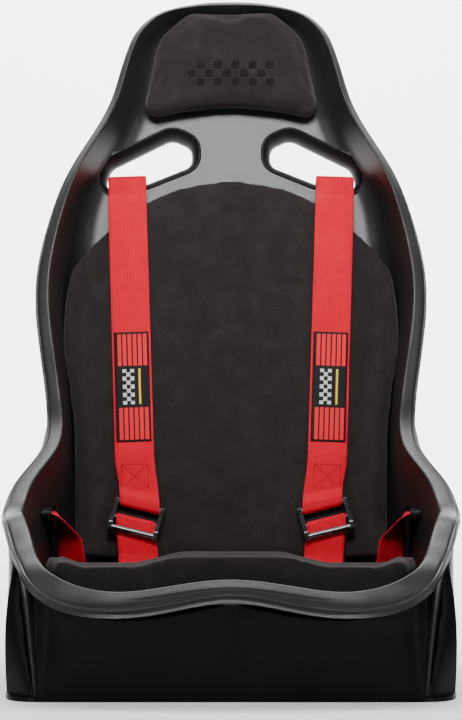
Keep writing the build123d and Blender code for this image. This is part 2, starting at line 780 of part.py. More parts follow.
with BuildPart() as buckle_body:
    with BuildSketch(buckle):
        RectangleRounded(*buckle_size, 7)
    extrude(amount=tray_high)
    with BuildSketch(buckle.offset(tray_floor)):
        RectangleRounded(buckle_size[0] - 2 * tray_wall, buckle_size[1] - 2 * tray_wall, 4)
    extrude(amount=tray_high, mode=Mode.SUBTRACT)
    with BuildSketch(buckle.offset(tongue_z)):
        with Locations((-42, 0)):
            RectangleRounded(20, bar_span, 3)
        with Locations((-43.5, 0)):
            RectangleRounded(7, window_span, 2, mode=Mode.SUBTRACT)
    extrude(amount=3)
    with BuildSketch(buckle.offset(tray_floor - 1)):
        with Locations(*screw_places):
            Circle(3.2)
        with Locations((pawl_x, 10), (pawl_x, -10)):
            Rectangle(5, 4)
    extrude(amount=pawl_z + 2.4 - tray_floor + 1)
    with BuildSketch(buckle.offset(tray_floor)):
        with Locations(*screw_places):
            Circle(1.1)
    extrude(amount=tray_high, mode=Mode.SUBTRACT)
    with BuildSketch(Plane(origin=(pawl_x, buckle_y, 112 + pawl_z), x_dir=(1, 0, 0), z_dir=(0, 1, 0))):
        Circle(pawl_pin_r)
    extrude(amount=12.5, both=True, mode=Mode.SUBTRACT)
    with BuildSketch(buckle.offset(tongue_z - 0.2)):
        with Locations((31, 0)):
            Rectangle(6, 15.4)
    extrude(amount=tongue_thick + 0.4, mode=Mode.SUBTRACT)
save(buckle_body.part, "buckle_body")

with BuildPart() as buckle_cover:
    with BuildSketch(buckle.offset(tray_high)):
        RectangleRounded(*buckle_size, 7)
        Circle(button_r + clear, mode=Mode.SUBTRACT)
        with Locations(*screw_places):
            Circle(1.4, mode=Mode.SUBTRACT)
    extrude(amount=cover_high)
    chamfer(buckle_cover.faces().sort_by(Axis.Z)[-1].outer_wire().edges(), 1.2)
save(buckle_cover.part, "buckle_cover")

with BuildPart() as buckle_screws:
    with BuildSketch(buckle.offset(tray_floor + 2)):
        with Locations(*screw_places):
            Circle(1.05)
    extrude(amount=tray_high + cover_high - tray_floor - 2)
    with BuildSketch(buckle.offset(tray_high + cover_high)):
        with Locations(*screw_places):
            Circle(2.3)
    extrude(amount=1.3)
save(buckle_screws.part, "buckle_screws")

button_low = 8.0
with BuildPart() as release_button:
    with BuildSketch(buckle.offset(button_low)):
        Circle(flange_r)
    extrude(amount=2.5)
    with BuildSketch(buckle.offset(button_low)):
        Circle(button_r)
    extrude(amount=8)
    fillet(release_button.edges().sort_by(Axis.Z)[-1], 1.2)
    with BuildSketch(buckle.offset(button_low)):
        Circle(button_r - 2)
    extrude(amount=6, mode=Mode.SUBTRACT)
save(release_button.part, "release_button")

wire_r = 0.6
spring_r = 6.5
spring_pitch = 2.4
spring_turns = 2.6
with BuildPart() as button_spring:
    with BuildLine(buckle.offset(tray_floor + wire_r + 0.1)) as coil:
        Helix(spring_pitch, spring_pitch * spring_turns, spring_r)
    with BuildSketch(Plane(origin=coil.line @ 0, z_dir=coil.line % 0)):
        Circle(wire_r)
    sweep(path=coil.line)
save(button_spring.part, "button_spring")

pawl_half = 4.5
with BuildPart() as latch_pawl:
    side_plane = Plane(origin=(0, buckle_y, 112), x_dir=(1, 0, 0), z_dir=(0, -1, 0))
    with BuildSketch(side_plane):
        with BuildLine():
            Polyline((14.5, 6.6), (18.2, 6.6), (18.2, 5.2), (21, 5.2), (21, 6.6), (pawl_x, 6.6),
                     (pawl_x, 8.2), (14.5, 8.2), close=True)
        make_face()
        with Locations((pawl_x, pawl_z)):
            Circle(2.2)
            Circle(pawl_pin_r + 0.05, mode=Mode.SUBTRACT)
    extrude(amount=pawl_half, both=True)
save(latch_pawl.part, "latch_pawl")

with BuildPart() as pawl_pin:
    with BuildSketch(Plane(origin=(pawl_x, buckle_y, 112 + pawl_z), x_dir=(1, 0, 0), z_dir=(0, 1, 0))):
        Circle(pawl_pin_r)
    extrude(amount=12, both=True)
save(pawl_pin.part, "pawl_pin")

with BuildPart() as tongue:
    with BuildSketch(buckle.offset(tongue_z)):
        with Locations((26, 0)):
            Rectangle(24, 15)
        with Locations((44, 0)):
            RectangleRounded(16, bar_span, 3)
        with Locations((43.5, 0)):
            RectangleRounded(7, window_span, 2, mode=Mode.SUBTRACT)
        with Locations((23.25, 0)):
            Rectangle(11.5, 10, mode=Mode.SUBTRACT)
    extrude(amount=tongue_thick)
    with BuildSketch(buckle.offset(tongue_z)):
        with Locations((49.5, 0)):
            RectangleRounded(5, bar_span, 2)
    extrude(amount=3)
save(tongue.part, "lap_tongue")

# ---------------------------------------------------------------- shell screws and pan mounts
with BuildPart() as shell_screws:
    extrude(round_face(back_plane.offset(-rear_gap - rear_skin), boss_places, 4.5), amount=-2.4)
    extrude(round_face(back_plane.offset(-rear_gap - rear_skin), boss_places, 1.65), amount=15)
save(shell_screws.part, "shell_screws")

mount_tops = {cross_ys[0]: 78.5, cross_ys[1]: 82.0}
with BuildPart() as pan_mounts:
    for y, top in mount_tops.items():
        with BuildSketch(Plane.XY.offset(tube_z + tube_high / 2)):
            with Locations((-120, y), (120, y)):
                Circle(14)
        extrude(amount=top - tube_z - tube_high / 2)
save(pan_mounts.part, "pan_mounts")
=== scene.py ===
"""Racing bucket seat: moulded shell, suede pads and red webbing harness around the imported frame."""
import json
import math

import bmesh
import bpy
import numpy as np
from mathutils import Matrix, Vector


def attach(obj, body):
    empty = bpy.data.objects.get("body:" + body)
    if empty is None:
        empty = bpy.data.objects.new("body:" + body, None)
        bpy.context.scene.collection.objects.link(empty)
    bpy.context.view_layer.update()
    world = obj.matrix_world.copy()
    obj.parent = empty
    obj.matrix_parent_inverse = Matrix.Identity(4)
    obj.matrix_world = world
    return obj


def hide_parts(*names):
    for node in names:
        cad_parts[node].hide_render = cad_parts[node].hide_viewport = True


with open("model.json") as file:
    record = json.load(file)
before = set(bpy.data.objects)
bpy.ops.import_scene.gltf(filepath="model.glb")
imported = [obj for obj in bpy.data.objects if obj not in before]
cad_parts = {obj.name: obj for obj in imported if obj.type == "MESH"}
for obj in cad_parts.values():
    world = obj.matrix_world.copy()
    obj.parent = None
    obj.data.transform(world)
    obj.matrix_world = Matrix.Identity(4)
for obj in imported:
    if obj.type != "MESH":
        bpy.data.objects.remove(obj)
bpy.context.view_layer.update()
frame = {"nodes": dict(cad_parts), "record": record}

nodes = frame["nodes"]
record = frame["record"]
scene = bpy.context.scene
MM = 0.001
norm = np.linalg.norm
MIRROR = np.array([-1, 1, 1])

# ---------- geometry of the frame, in millimetres
BACK_LEAN = math.radians(15.0)
RC, RS = math.cos(BACK_LEAN), math.sin(BACK_LEAN)
PAN_SLOPE = math.tan(math.radians(10.0))
SKIN = 4.5                # wall of the front shell
UP = np.array([0.0, 0.0, 1.0])
BACK_ACROSS = np.array([1.0, 0.0, 0.0])
BACK_UP = np.array([0.0, RS, RC])
BACK_OUT = np.array([0.0, -RC, RS])
FOOT_Y, FOOT_Z = 105.0, 60.0     # foot of the back panel
PAN_Y = 40.0              # where the pan is as high as that foot
BACK_FOOT = np.array([0.0, FOOT_Y, FOOT_Z])
STRAP_SLANT = 2.1         # degrees that a shoulder strap leans outwards
STRAP_FOOT = 115.7        # x of its line at the foot of the back


def on_back(x, w, v):
    """Point at x across, w up and v in front of the back panel."""
    return BACK_FOOT + BACK_ACROSS * x + BACK_UP * w + BACK_OUT * v


def back_y(z):
    return FOOT_Y + (z - FOOT_Z) * RS / RC


def pan_z(y):
    return FOOT_Z - (y - PAN_Y) * PAN_SLOPE


# bend between back and pan, and the pivot that its sections fan about
PIVOT = (-200.0, 400.0)
ROOT_R = 100.0
HALF_BEND = math.radians(47.5)
corner_y = (FOOT_Y + (FOOT_Z + PAN_Y * PAN_SLOPE - FOOT_Z) * RS / RC) / (1 + PAN_SLOPE * RS / RC)
corner = (corner_y, pan_z(corner_y))
reach = ROOT_R / math.tan(HALF_BEND)
tangent_back = (corner[0] + reach * RS, corner[1] + reach * RC)
bend_centre = (tangent_back[0] - ROOT_R * RC, tangent_back[1] + ROOT_R * RS)


def spine_reach(angle):
    """Distance from the pivot to the shell's spine along a fan line."""
    dy, dz = math.cos(math.radians(angle)), -math.sin(math.radians(angle))
    to_back = (back_y(PIVOT[1]) - PIVOT[0]) / (dy - dz * RS / RC)
    to_pan = (pan_z(PIVOT[0]) - PIVOT[1]) / (dz + dy * PAN_SLOPE)
    along = (bend_centre[0] - PIVOT[0]) * dy + (bend_centre[1] - PIVOT[1]) * dz
    aside = (bend_centre[0] - PIVOT[0]) * dz - (bend_centre[1] - PIVOT[1]) * dy
    found = min(to_back, to_pan)
    if abs(aside) < ROOT_R:
        on_z = PIVOT[1] + found * dz
        if on_z < tangent_back[1] and PIVOT[0] + found * dy > corner[0] - reach:
            found = along + math.sqrt(ROOT_R**2 - aside**2)
    return found


def unit(v):
    return v / norm(v)


# ---------- object and mesh helpers
def new_object(name, verts, faces, body="seat", uvs=None, smooth=True):
    """Object from vertices in millimetres, riding on a body."""
    mesh = bpy.data.meshes.new(name)
    mesh.from_pydata([tuple(float(c) * MM for c in v) for v in verts], [], faces)
    if uvs is not None:
        layer = mesh.uv_layers.new(name="weave")
        flat = [uvs[i] for f in faces for i in f]
        layer.data.foreach_set("uv", [float(c) for uv in flat for c in uv])
    mesh.validate()
    mesh.update()
    obj = bpy.data.objects.new(name, mesh)
    scene.collection.objects.link(obj)
    if smooth:
        mesh.shade_smooth()
    if body:
        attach(obj, body)
    return obj


def tidy_mesh(obj, distance=0.05):
    """Merge doubled vertices and turn all faces outwards."""
    bm = bmesh.new()
    bm.from_mesh(obj.data)
    bmesh.ops.remove_doubles(bm, verts=bm.verts, dist=distance * MM)
    bmesh.ops.dissolve_degenerate(bm, edges=bm.edges, dist=distance * MM)
    bmesh.ops.recalc_face_normals(bm, faces=bm.faces)
    bm.to_mesh(obj.data)
    bm.free()
    obj.data.update()


def face_outwards(obj):
    """Turn all faces outwards."""
    bm = bmesh.new()
    bm.from_mesh(obj.data)
    bmesh.ops.recalc_face_normals(bm, faces=bm.faces)
    bm.to_mesh(obj.data)
    bm.free()


def shade(obj, sharp=None):
    """Smooth shading, with sharp edges above an angle in degrees."""
    obj.data.shade_smooth()
    if sharp is not None:
        obj.data.set_sharp_from_angle(angle=math.radians(sharp))


def read_vectors(items, attribute):
    """One 3-vector attribute of every item, as rows."""
    flat = np.empty(len(items) * 3)
    items.foreach_get(attribute, flat)
    return flat.reshape(-1, 3)


def apply_modifiers(obj):
    """Replace the mesh with its evaluated result and drop the modifiers."""
    deps = bpy.context.evaluated_depsgraph_get()
    result = bpy.data.meshes.new_from_object(obj.evaluated_get(deps))
    old = obj.data
    obj.modifiers.clear()
    obj.data = result
    bpy.data.meshes.remove(old)
    return obj


def smooth_curve(points, per_span):
    """Points along a Catmull-Rom curve through the given points."""
    pts = [np.array(p, float) for p in points]
    pts = [2 * pts[0] - pts[1]] + pts + [2 * pts[-1] - pts[-2]]
    out = []
    for i in range(1, len(pts) - 2):
        p0, p1, p2, p3 = pts[i - 1:i + 3]
        for j in range(per_span):
            t = j / per_span
            out.append(0.5 * (2 * p1 + (p2 - p0) * t + (2 * p0 - 5 * p1 + 4 * p2 - p3) * t * t
                              + (3 * p1 - p0 - 3 * p2 + p3) * t**3))
    out.append(pts[-2])
    return out


def rounded_path(points, radii, step=1.5, closed=False):
    """Polyline with its corners rounded to the given radii."""
    pts = [np.array(p, float) for p in points]
    n = len(pts)
    out = []
    for i in range(n):
        if not closed and i in (0, n - 1):
            out.append(pts[i])
            continue
        r = radii[i] if closed else radii[i - 1]
        a, b, c = pts[i - 1], pts[i], pts[(i + 1) % n]
        u, w = unit(a - b), unit(c - b)
        cosine = max(-1.0, min(1.0, float(np.dot(u, w))))
        angle = math.acos(cosine)
        if r <= 0 or angle > math.pi - 0.02:
            out.append(b)
            continue
        shorter = min(norm(a - b), norm(c - b))
        cut = min(r / math.tan(angle / 2), shorter * (0.49 if closed else 0.98))
        r = cut * math.tan(angle / 2)
        centre = b + unit(u + w) * (r / math.sin(angle / 2))
        start, end = b + u * cut, b + w * cut
        turn = math.pi - angle
        count = max(2, int(math.ceil(turn * r / step)) + 1)
        for j in range(count + 1):
            t = j / count
            s1 = math.sin((1 - t) * turn) / math.sin(turn)
            s2 = math.sin(t * turn) / math.sin(turn)
            out.append(centre + (start - centre) * s1 + (end - centre) * s2)
    return out


def resample(points, step, closed=False):
    """Points spaced evenly along a polyline, corners kept by density."""
    pts = list(points) + ([points[0]] if closed else [])
    lengths = [0.0]
    for a, b in zip(pts, pts[1:]):
        lengths.append(lengths[-1] + float(norm(b - a)))
    total = lengths[-1]
    count = max(2, int(round(total / step)))
    out = []
    k = 0
    for i in range(count + (0 if closed else 1)):
        d = total * i / count
        while k < len(lengths) - 2 and lengths[k + 1] < d:
            k += 1
        span = max(lengths[k + 1] - lengths[k], 1e-9)
        out.append(pts[k] + (pts[k + 1] - pts[k]) * (d - lengths[k]) / span)
    return out


# ---------- materials
def wire(source, socket):
    socket.id_data.links.new(source, socket)


def set_inputs(shader, values):
    for key, value in values.items():
        shader.inputs[key].default_value = value


def bare(name):
    mat = bpy.data.materials.new(name)
    mat.use_nodes = True
    tree = mat.node_tree
    return mat, tree, tree.nodes["Principled BSDF"]


def node(tree, kind, **values):
    made = tree.nodes.new(kind)
    for key, value in values.items():
        setattr(made, key, value)
    return made


def math_node(tree, op, a, b=None):
    made = node(tree, "ShaderNodeMath", operation=op)
    for i, value in enumerate((a, b)):
        if value is None:
            continue
        if isinstance(value, (int, float)):
            made.inputs[i].default_value = value
        else:
            wire(value, made.inputs[i])
    return made.outputs[0]


def times(tree, a, b):
    return math_node(tree, "MULTIPLY", a, b)


def plus(tree, a, b):
    return math_node(tree, "ADD", a, b)


def object_coords(tree):
    return node(tree, "ShaderNodeTexCoord").outputs["Object"]


def noise(tree, coords, scale, detail=3.0, rough=0.5):
    made = node(tree, "ShaderNodeTexNoise")
    set_inputs(made, {"Scale": scale, "Detail": detail, "Roughness": rough})
    wire(coords, made.inputs["Vector"])
    return made.outputs[0]


def ramp(tree, fac, stops):
    made = node(tree, "ShaderNodeValToRGB")
    wire(fac, made.inputs[0])
    elements = made.color_ramp.elements
    while len(elements) < len(stops):
        elements.new(0.5)
    for element, (place, colour) in zip(elements, stops):
        element.position = place
        element.color = (*colour, 1) if len(colour) == 3 else colour
    return made.outputs[0]


def grey(v):
    return (v, v, v)


def bump(tree, height, strength, distance, chain=None):
    made = node(tree, "ShaderNodeBump")
    set_inputs(made, {"Strength": strength, "Distance": distance})
    wire(height, made.inputs["Height"])
    if chain is not None:
        wire(chain, made.inputs["Normal"])
    return made.outputs[0]


def moulded(name, dark, light, rough_low, rough_high, grain=0.35, grain_size=1100.0, gloss=0.5):
    """Moulded plastic with a fine leather grain and faint mottling."""
    mat, tree, bsdf = bare(name)
    coords = object_coords(tree)
    cloud = noise(tree, coords, 14.0, 4.0, 0.55)
    fine = noise(tree, coords, 420.0, 2.0)
    colour = ramp(tree, cloud, [(0.35, dark), (0.7, light)])
    wire(colour, bsdf.inputs["Base Color"])
    rough = ramp(tree, fine, [(0.3, grey(rough_low)), (0.7, grey(rough_high))])
    wire(rough, bsdf.inputs["Roughness"])
    cells = node(tree, "ShaderNodeTexVoronoi", feature="SMOOTH_F1")
    cells.inputs["Scale"].default_value = grain_size
    wire(coords, cells.inputs["Vector"])
    first = bump(tree, cells.outputs["Distance"], grain, 0.00025)
    second = bump(tree, noise(tree, coords, 90.0, 3.0), 0.08, 0.0006, first)
    wire(second, bsdf.inputs["Normal"])
    bsdf.inputs["Specular IOR Level"].default_value = gloss
    return mat


def suede(name):
    """Brushed microsuede: short nap with brushed lighter patches and a soft sheen."""
    mat, tree, bsdf = bare(name)
    coords = object_coords(tree)
    nap = noise(tree, coords, 900.0, 4.0, 0.7)
    brushed = noise(tree, coords, 38.0, 5.0, 0.6)
    tone = plus(tree, times(tree, nap, 0.55), times(tree, brushed, 0.45))
    colour = ramp(tree, tone, [(0.32, (0.0085, 0.0068, 0.0070)), (0.52, (0.0145, 0.0118, 0.0120)),
                               (0.72, (0.0290, 0.0245, 0.0248))])
    wire(colour, bsdf.inputs["Base Color"])
    set_inputs(bsdf, {"Roughness": 0.95, "Specular IOR Level": 0.12, "Sheen Weight": 0.22,
                      "Sheen Roughness": 0.45, "Sheen Tint": (0.62, 0.55, 0.56, 1)})
    first = bump(tree, nap, 0.6, 0.0007)
    second = bump(tree, noise(tree, coords, 260.0, 2.0), 0.35, 0.0008, first)
    wire(second, bsdf.inputs["Normal"])
    return mat


def pressed_suede(name):
    """Suede with a plain chequer strip pressed into the head pad."""
    mat = suede(name)
    tree = mat.node_tree
    bsdf = tree.nodes["Principled BSDF"]
    coords = object_coords(tree)
    parts = node(tree, "ShaderNodeSeparateXYZ")
    wire(coords, parts.inputs[0])
    across, up = parts.outputs[0], parts.outputs[2]
    square, across_count, up_count = 0.0115, 10, 3    # metres, squares, squares
    start, low = -across_count / 2 * square, 0.7490

    def steps(value, offset):
        return times(tree, plus(tree, value, -offset), 1 / square)

    columns, rows = steps(across, start), steps(up, low)
    both = plus(tree, math_node(tree, "FLOOR", columns), math_node(tree, "FLOOR", rows))
    mask = math_node(tree, "MODULO", plus(tree, both, 40.0), 2.0)
    for value, count in ((columns, across_count), (rows, up_count)):
        mask = times(tree, mask, math_node(tree, "GREATER_THAN", value, 0.0))
        mask = times(tree, mask, math_node(tree, "LESS_THAN", value, float(count)))
    raised = math_node(tree, "SUBTRACT", 1.0, mask)
    normal = bsdf.inputs["Normal"].links[0].from_socket
    wire(bump(tree, raised, 1.0, 0.0012, normal), bsdf.inputs["Normal"])
    old = bsdf.inputs["Base Color"].links[0].from_socket
    shade = node(tree, "ShaderNodeMix", data_type="RGBA")
    wire(mask, shade.inputs["Factor"])
    wire(old, shade.inputs[6])
    shade.inputs[7].default_value = (0.006, 0.005, 0.005, 1)
    wire(shade.outputs[2], bsdf.inputs["Base Color"])
    return mat


def webbing(name, dark, light, rib=1.9):
    """Woven webbing: lengthwise cords with a diagonal twill, whose relief also sets the colour as painted
    shade in the grooves and painted highlight on the cords.
    """
    mat, tree, bsdf = bare(name)
    uv = node(tree, "ShaderNodeUVMap", uv_map="weave").outputs[0]
    parts = node(tree, "ShaderNodeSeparateXYZ")
    wire(uv, parts.inputs[0])
    across, along = parts.outputs[0], parts.outputs[1]
    turn, pick = 2 * math.pi, 1.5
    cords = math_node(tree, "SINE", times(tree, across, turn / rib))
    slant = plus(tree, times(tree, along, turn / pick), times(tree, across, turn / rib * 2))
    twill = math_node(tree, "SINE", slant)
    weave = plus(tree, times(tree, cords, 0.3), times(tree, twill, 0.2))
    weave = plus(tree, weave, 0.5)
    coords = object_coords(tree)
    cloud = noise(tree, coords, 60.0, 4.0, 0.6)
    # painted shade and highlight: the weave's relief height darkens the grooves and lightens the cords; the
    # cloud adds the webbing's own random tone
    tone = plus(tree, times(tree, weave, 0.6), times(tree, cloud, 0.4))
    colour = ramp(tree, tone, [(0.15, dark), (0.8, light)])
    wire(colour, bsdf.inputs["Base Color"])
    set_inputs(bsdf, {"Roughness": 0.75, "Specular IOR Level": 0.12, "Sheen Weight": 0.03})
    wire(bump(tree, weave, 0.7, 0.0004), bsdf.inputs["Normal"])
    return mat


def metal(name, colour, rough, metallic=1.0, coat=0.0, streak=0.08):
    """Plated or coated metal with fine brushing and small wear."""
    mat, tree, bsdf = bare(name)
    coords = object_coords(tree)
    stretch = node(tree, "ShaderNodeMapping")
    stretch.inputs["Scale"].default_value = (60, 900, 900)
    wire(coords, stretch.inputs[0])
    lines = noise(tree, stretch.outputs[0], 1.0, 3.0)
    worn = noise(tree, coords, 160.0, 4.0, 0.65)
    smoother, rougher = max(rough - streak, 0.02), rough + streak
    wire(ramp(tree, lines, [(0.3, grey(smoother)), (0.7, grey(rougher))]), bsdf.inputs["Roughness"])
    lighter = tuple(min(c * 1.5 + 0.01, 1) for c in colour)
    wire(ramp(tree, worn, [(0.5, colour), (0.8, lighter)]), bsdf.inputs["Base Color"])
    set_inputs(bsdf, {"Metallic": metallic, "Coat Weight": coat, "Coat Roughness": 0.05})
    wire(bump(tree, worn, 0.05, 0.0003), bsdf.inputs["Normal"])
    return mat


def badge_material(name):
    """Woven badge: border, stripes at both ends, and a chequer and a yellow line between them."""
    mat, tree, bsdf = bare(name)
    uv = node(tree, "ShaderNodeUVMap", uv_map="weave").outputs[0]
    parts = node(tree, "ShaderNodeSeparateXYZ")
    wire(uv, parts.inputs[0])
    u, t = parts.outputs[0], parts.outputs[1]

    def over(value, limit):
        return math_node(tree, "GREATER_THAN", value, limit)

    def inside(value, low, high):
        return times(tree, over(value, low), math_node(tree, "LESS_THAN", value, high))

    border_u, border_t, bars_per_width = 0.06, 0.02, 6.82
    in_border = times(tree, inside(u, border_u, 1 - border_u), inside(t, border_t, 1 - border_t))
    ends = plus(tree, inside(t, border_t, 0.31), inside(t, 0.69, 1 - border_t))
    bars = over(math_node(tree, "FRACT", times(tree, plus(tree, u, -border_u), bars_per_width)), 0.26)
    red = times(tree, times(tree, ends, bars), in_border)
    cells = node(tree, "ShaderNodeTexChecker")
    cells.inputs["Scale"].default_value = 1.0
    stretch = node(tree, "ShaderNodeMapping")
    stretch.inputs["Scale"].default_value = (9.0, 27.0, 1.0)
    wire(uv, stretch.inputs[0])
    wire(stretch.outputs[0], cells.inputs[0])
    cells.inputs["Color1"].default_value = (1, 1, 1, 1)
    cells.inputs["Color2"].default_value = (0, 0, 0, 1)
    middle = inside(t, 0.34, 0.66)
    chequer = times(tree, times(tree, cells.outputs["Fac"], middle), inside(u, 0.222, 0.556))
    yellow = times(tree, middle, inside(u, 0.68, 0.74))
    colour = None
    threads_drawn = ((red, (0.62, 0.008, 0.018)), (chequer, grey(0.50)), (yellow, (0.62, 0.42, 0.02)))
    for fac, tone in threads_drawn:
        mix = node(tree, "ShaderNodeMix", data_type="RGBA")
        wire(fac, mix.inputs["Factor"])
        if colour is None:
            mix.inputs[6].default_value = (0.008, 0.007, 0.008, 1)
        else:
            wire(colour, mix.inputs[6])
        mix.inputs[7].default_value = (*tone, 1)
        colour = mix.outputs[2]
    wire(colour, bsdf.inputs["Base Color"])
    set_inputs(bsdf, {"Roughness": 0.75, "Specular IOR Level": 0.2})
    thread_count = 190
    threads = math_node(tree, "SINE", times(tree, t, 2 * math.pi * thread_count))
    wire(bump(tree, threads, 0.5, 0.0002), bsdf.inputs["Normal"])
    return mat


shell_mat = moulded("shell_abs", (0.0115, 0.0110, 0.0112), (0.0165, 0.0158, 0.0160), 0.35, 0.43, gloss=0.32)
skirt_mat = moulded("skirt_abs", (0.0022, 0.0022, 0.0023), (0.0034, 0.0034, 0.0036), 0.33, 0.42,
                    grain=0.04, gloss=0.07)
bezel_mat = moulded("bezel_abs", (0.0040, 0.0040, 0.0042), (0.0065, 0.0065, 0.0068), 0.42, 0.50,
                    grain=0.03, gloss=0.12)
nylon_mat = moulded("nylon", (0.012, 0.012, 0.013), (0.020, 0.020, 0.021), 0.35, 0.5,
                    grain=0.3, grain_size=1600)
button_mat = moulded("button_plastic", (0.42, 0.008, 0.015), (0.50, 0.012, 0.02), 0.2, 0.28, grain=0.03)
rubber_mat = moulded("rubber", (0.010, 0.010, 0.010), (0.016, 0.016, 0.016), 0.65, 0.8, grain=0.2)
suede_mat = suede("black_suede")
pressed_mat = pressed_suede("pressed_suede")
web_mat = webbing("red_webbing", (0.36, 0.0, 0.010), (0.62, 0.001, 0.020))
stitch_mat = webbing("red_thread", (0.09, 0.001, 0.003), (0.16, 0.003, 0.006), rib=0.8)
label_mat = badge_material("woven_badge")
black_metal = metal("black_gloss_metal", (0.006, 0.006, 0.007), 0.16, metallic=0.0, coat=0.6)
coated_metal = metal("powder_coat", (0.015, 0.015, 0.016), 0.42, metallic=0.2)
plated_metal = metal("plated_steel", (0.55, 0.55, 0.57), 0.28)
zinc_metal = metal("zinc_plate", (0.50, 0.50, 0.50), 0.35)
tape_mat = suede("hook_and_loop_tape")

SLOT_MATERIALS = {
    "shell_plastic": shell_mat, "base_plastic": skirt_mat, "bezel_plastic": bezel_mat, "suede": suede_mat,
    "hook_and_loop": tape_mat, "red_webbing": web_mat, "woven_label": tape_mat, "black_metal": black_metal,
    "buckle_plastic": nylon_mat, "button_red": button_mat, "rubber_mount": rubber_mat,
    "coated_steel": coated_metal, "plated_steel": plated_metal, "zinc_hardware": zinc_metal,
}
for entry in record["subparts"]:
    mesh = nodes[entry["node"]].data
    material = SLOT_MATERIALS[entry["material_slot"]]
    if not mesh.materials:
        mesh.materials.append(material)
    for i in range(len(mesh.materials)):
        mesh.materials[i] = material


def paint(obj, material):
    obj.data.materials.clear()
    obj.data.materials.append(material)
    return obj


# ---------- front shell
# rows of the shell's ring, from the top centre down the side and round to the front centre.
# top rows: outer x, height, wall depth, rim width, panel inset, corner radius, height of the centre point
top_rows = [
    (0, 860.5, 29, 7, 17, 22, 800), (26, 859.8, 29, 7, 17, 22, 800), (50, 857.2, 29, 7, 17, 22, 800),
    (70, 853.0, 30, 7, 17, 22, 800), (87, 847.6, 32, 7, 18, 24, 800), (102, 840.3, 33, 7, 19, 25, 800),
    (117, 827.6, 35, 7.5, 20, 26, 798), (130, 810, 37, 8, 21, 28, 793), (138, 790, 39, 8, 22, 30, 784),
]
# zone, place, wall depth, half width at the rim, half width of the panel, rim width, corner radius
side_rows = [
    ("back", 765, 42, 145.5, 114, 8.5, 32), ("back", 720, 48, 158, 123, 9.5, 34),
    ("back", 670, 60, 181, 146, 11, 36), ("back", 610, 75, 213, 181, 13, 30),
    ("back", 540, 88, 236, 198, 16, 34), ("back", 465, 98, 249, 209, 18, 40),
    ("back", 380, 105, 243, 207, 19, 36),
    ("bend", 15, 110, 232, 200, 20, 36), ("bend", 30, 155, 236, 202, 22, 46),
    ("bend", 45, 205, 264, 210, 25, 60), ("bend", 60, 165, 274, 217, 26, 56),
    ("bend", 75, 120, 268, 214, 26, 45),
    ("pan", -200, 72, 254, 208, 26, 35), ("pan", -240, 48, 242, 204, 25, 22),
]
# outer edge x, y, z and crest x, y, z round the front corner and along the lip
front_rows = [
    ((237, -252, 142.5), (212, -248, 152.0)), ((226, -264, 130.0), (201, -258, 144.8)),
    ((208, -274, 118.0), (186, -267, 137.5)), ((184, -281, 108.9), (166, -273.5, 131.2)),
    ((151, -287, 104.6), (142, -278.0, 127.4)), ((120, -288, 104.5), (115, -279.5, 127.2)),
    ((82, -288, 109.0), (80, -280, 131.5)), ((41, -288, 117.0), (40.5, -280, 137.5)),
    ((0, -288, 121.5), (0, -280, 140.5)),
]
# y of the centre point of each front row
front_centres = [-243, -240, -236, -232, -229, -227, -226, -226, -226]
RIM_DROP = 7              # the rim's outer edge below its crest


def key_rows():
    """Centre, panel corner, crest, outer edge, inward direction and corner radius of each key row."""
    rows = []
    for x, z, depth, rim, inset, radius, centre_z in top_rows:
        centre = on_back(0, (centre_z - FOOT_Z) / RC, 0)
        outer = on_back(x, (z - FOOT_Z) / RC, 0)
        away = unit(outer - centre)
        crest = outer - away * rim
        foot = crest - away * inset
        rows.append((centre, foot, crest + BACK_OUT * depth, outer + BACK_OUT * (depth - RIM_DROP),
                     BACK_OUT, radius))
    for zone, place, depth, half, panel, rim, radius in side_rows:
        if zone == "back":
            spine, inward = np.array([0, back_y(place), place]), BACK_OUT
        elif zone == "bend":
            angle, far = math.radians(place), spine_reach(place)
            spine = np.array([0, PIVOT[0] + far * math.cos(angle), PIVOT[1] - far * math.sin(angle)])
            inward = np.array([0, -math.cos(angle), math.sin(angle)])
        else:
            spine, inward = np.array([0, place, pan_z(place)]), UP
        rows.append((spine, spine + BACK_ACROSS * panel, spine + BACK_ACROSS * (half - rim) + inward * depth,
                     spine + BACK_ACROSS * half + inward * (depth - RIM_DROP), inward, radius))
    for (outer, crest), y in zip(front_rows, front_centres):
        centre = np.array([0, y, pan_z(y)])
        crest = np.array(crest, float)
        away = unit(np.array([crest[0] * 0.35, crest[1] - y, 0]))
        foot = crest - away * 8
        foot[2] = pan_z(foot[1])
        rows.append((centre, foot, crest, np.array(outer, float), UP, 10))
    return rows


def between(a, b, count, first=1):
    """Evenly spaced points from a towards b, without b itself."""
    return [a + (b - a) * (i / count) for i in range(first, count)]


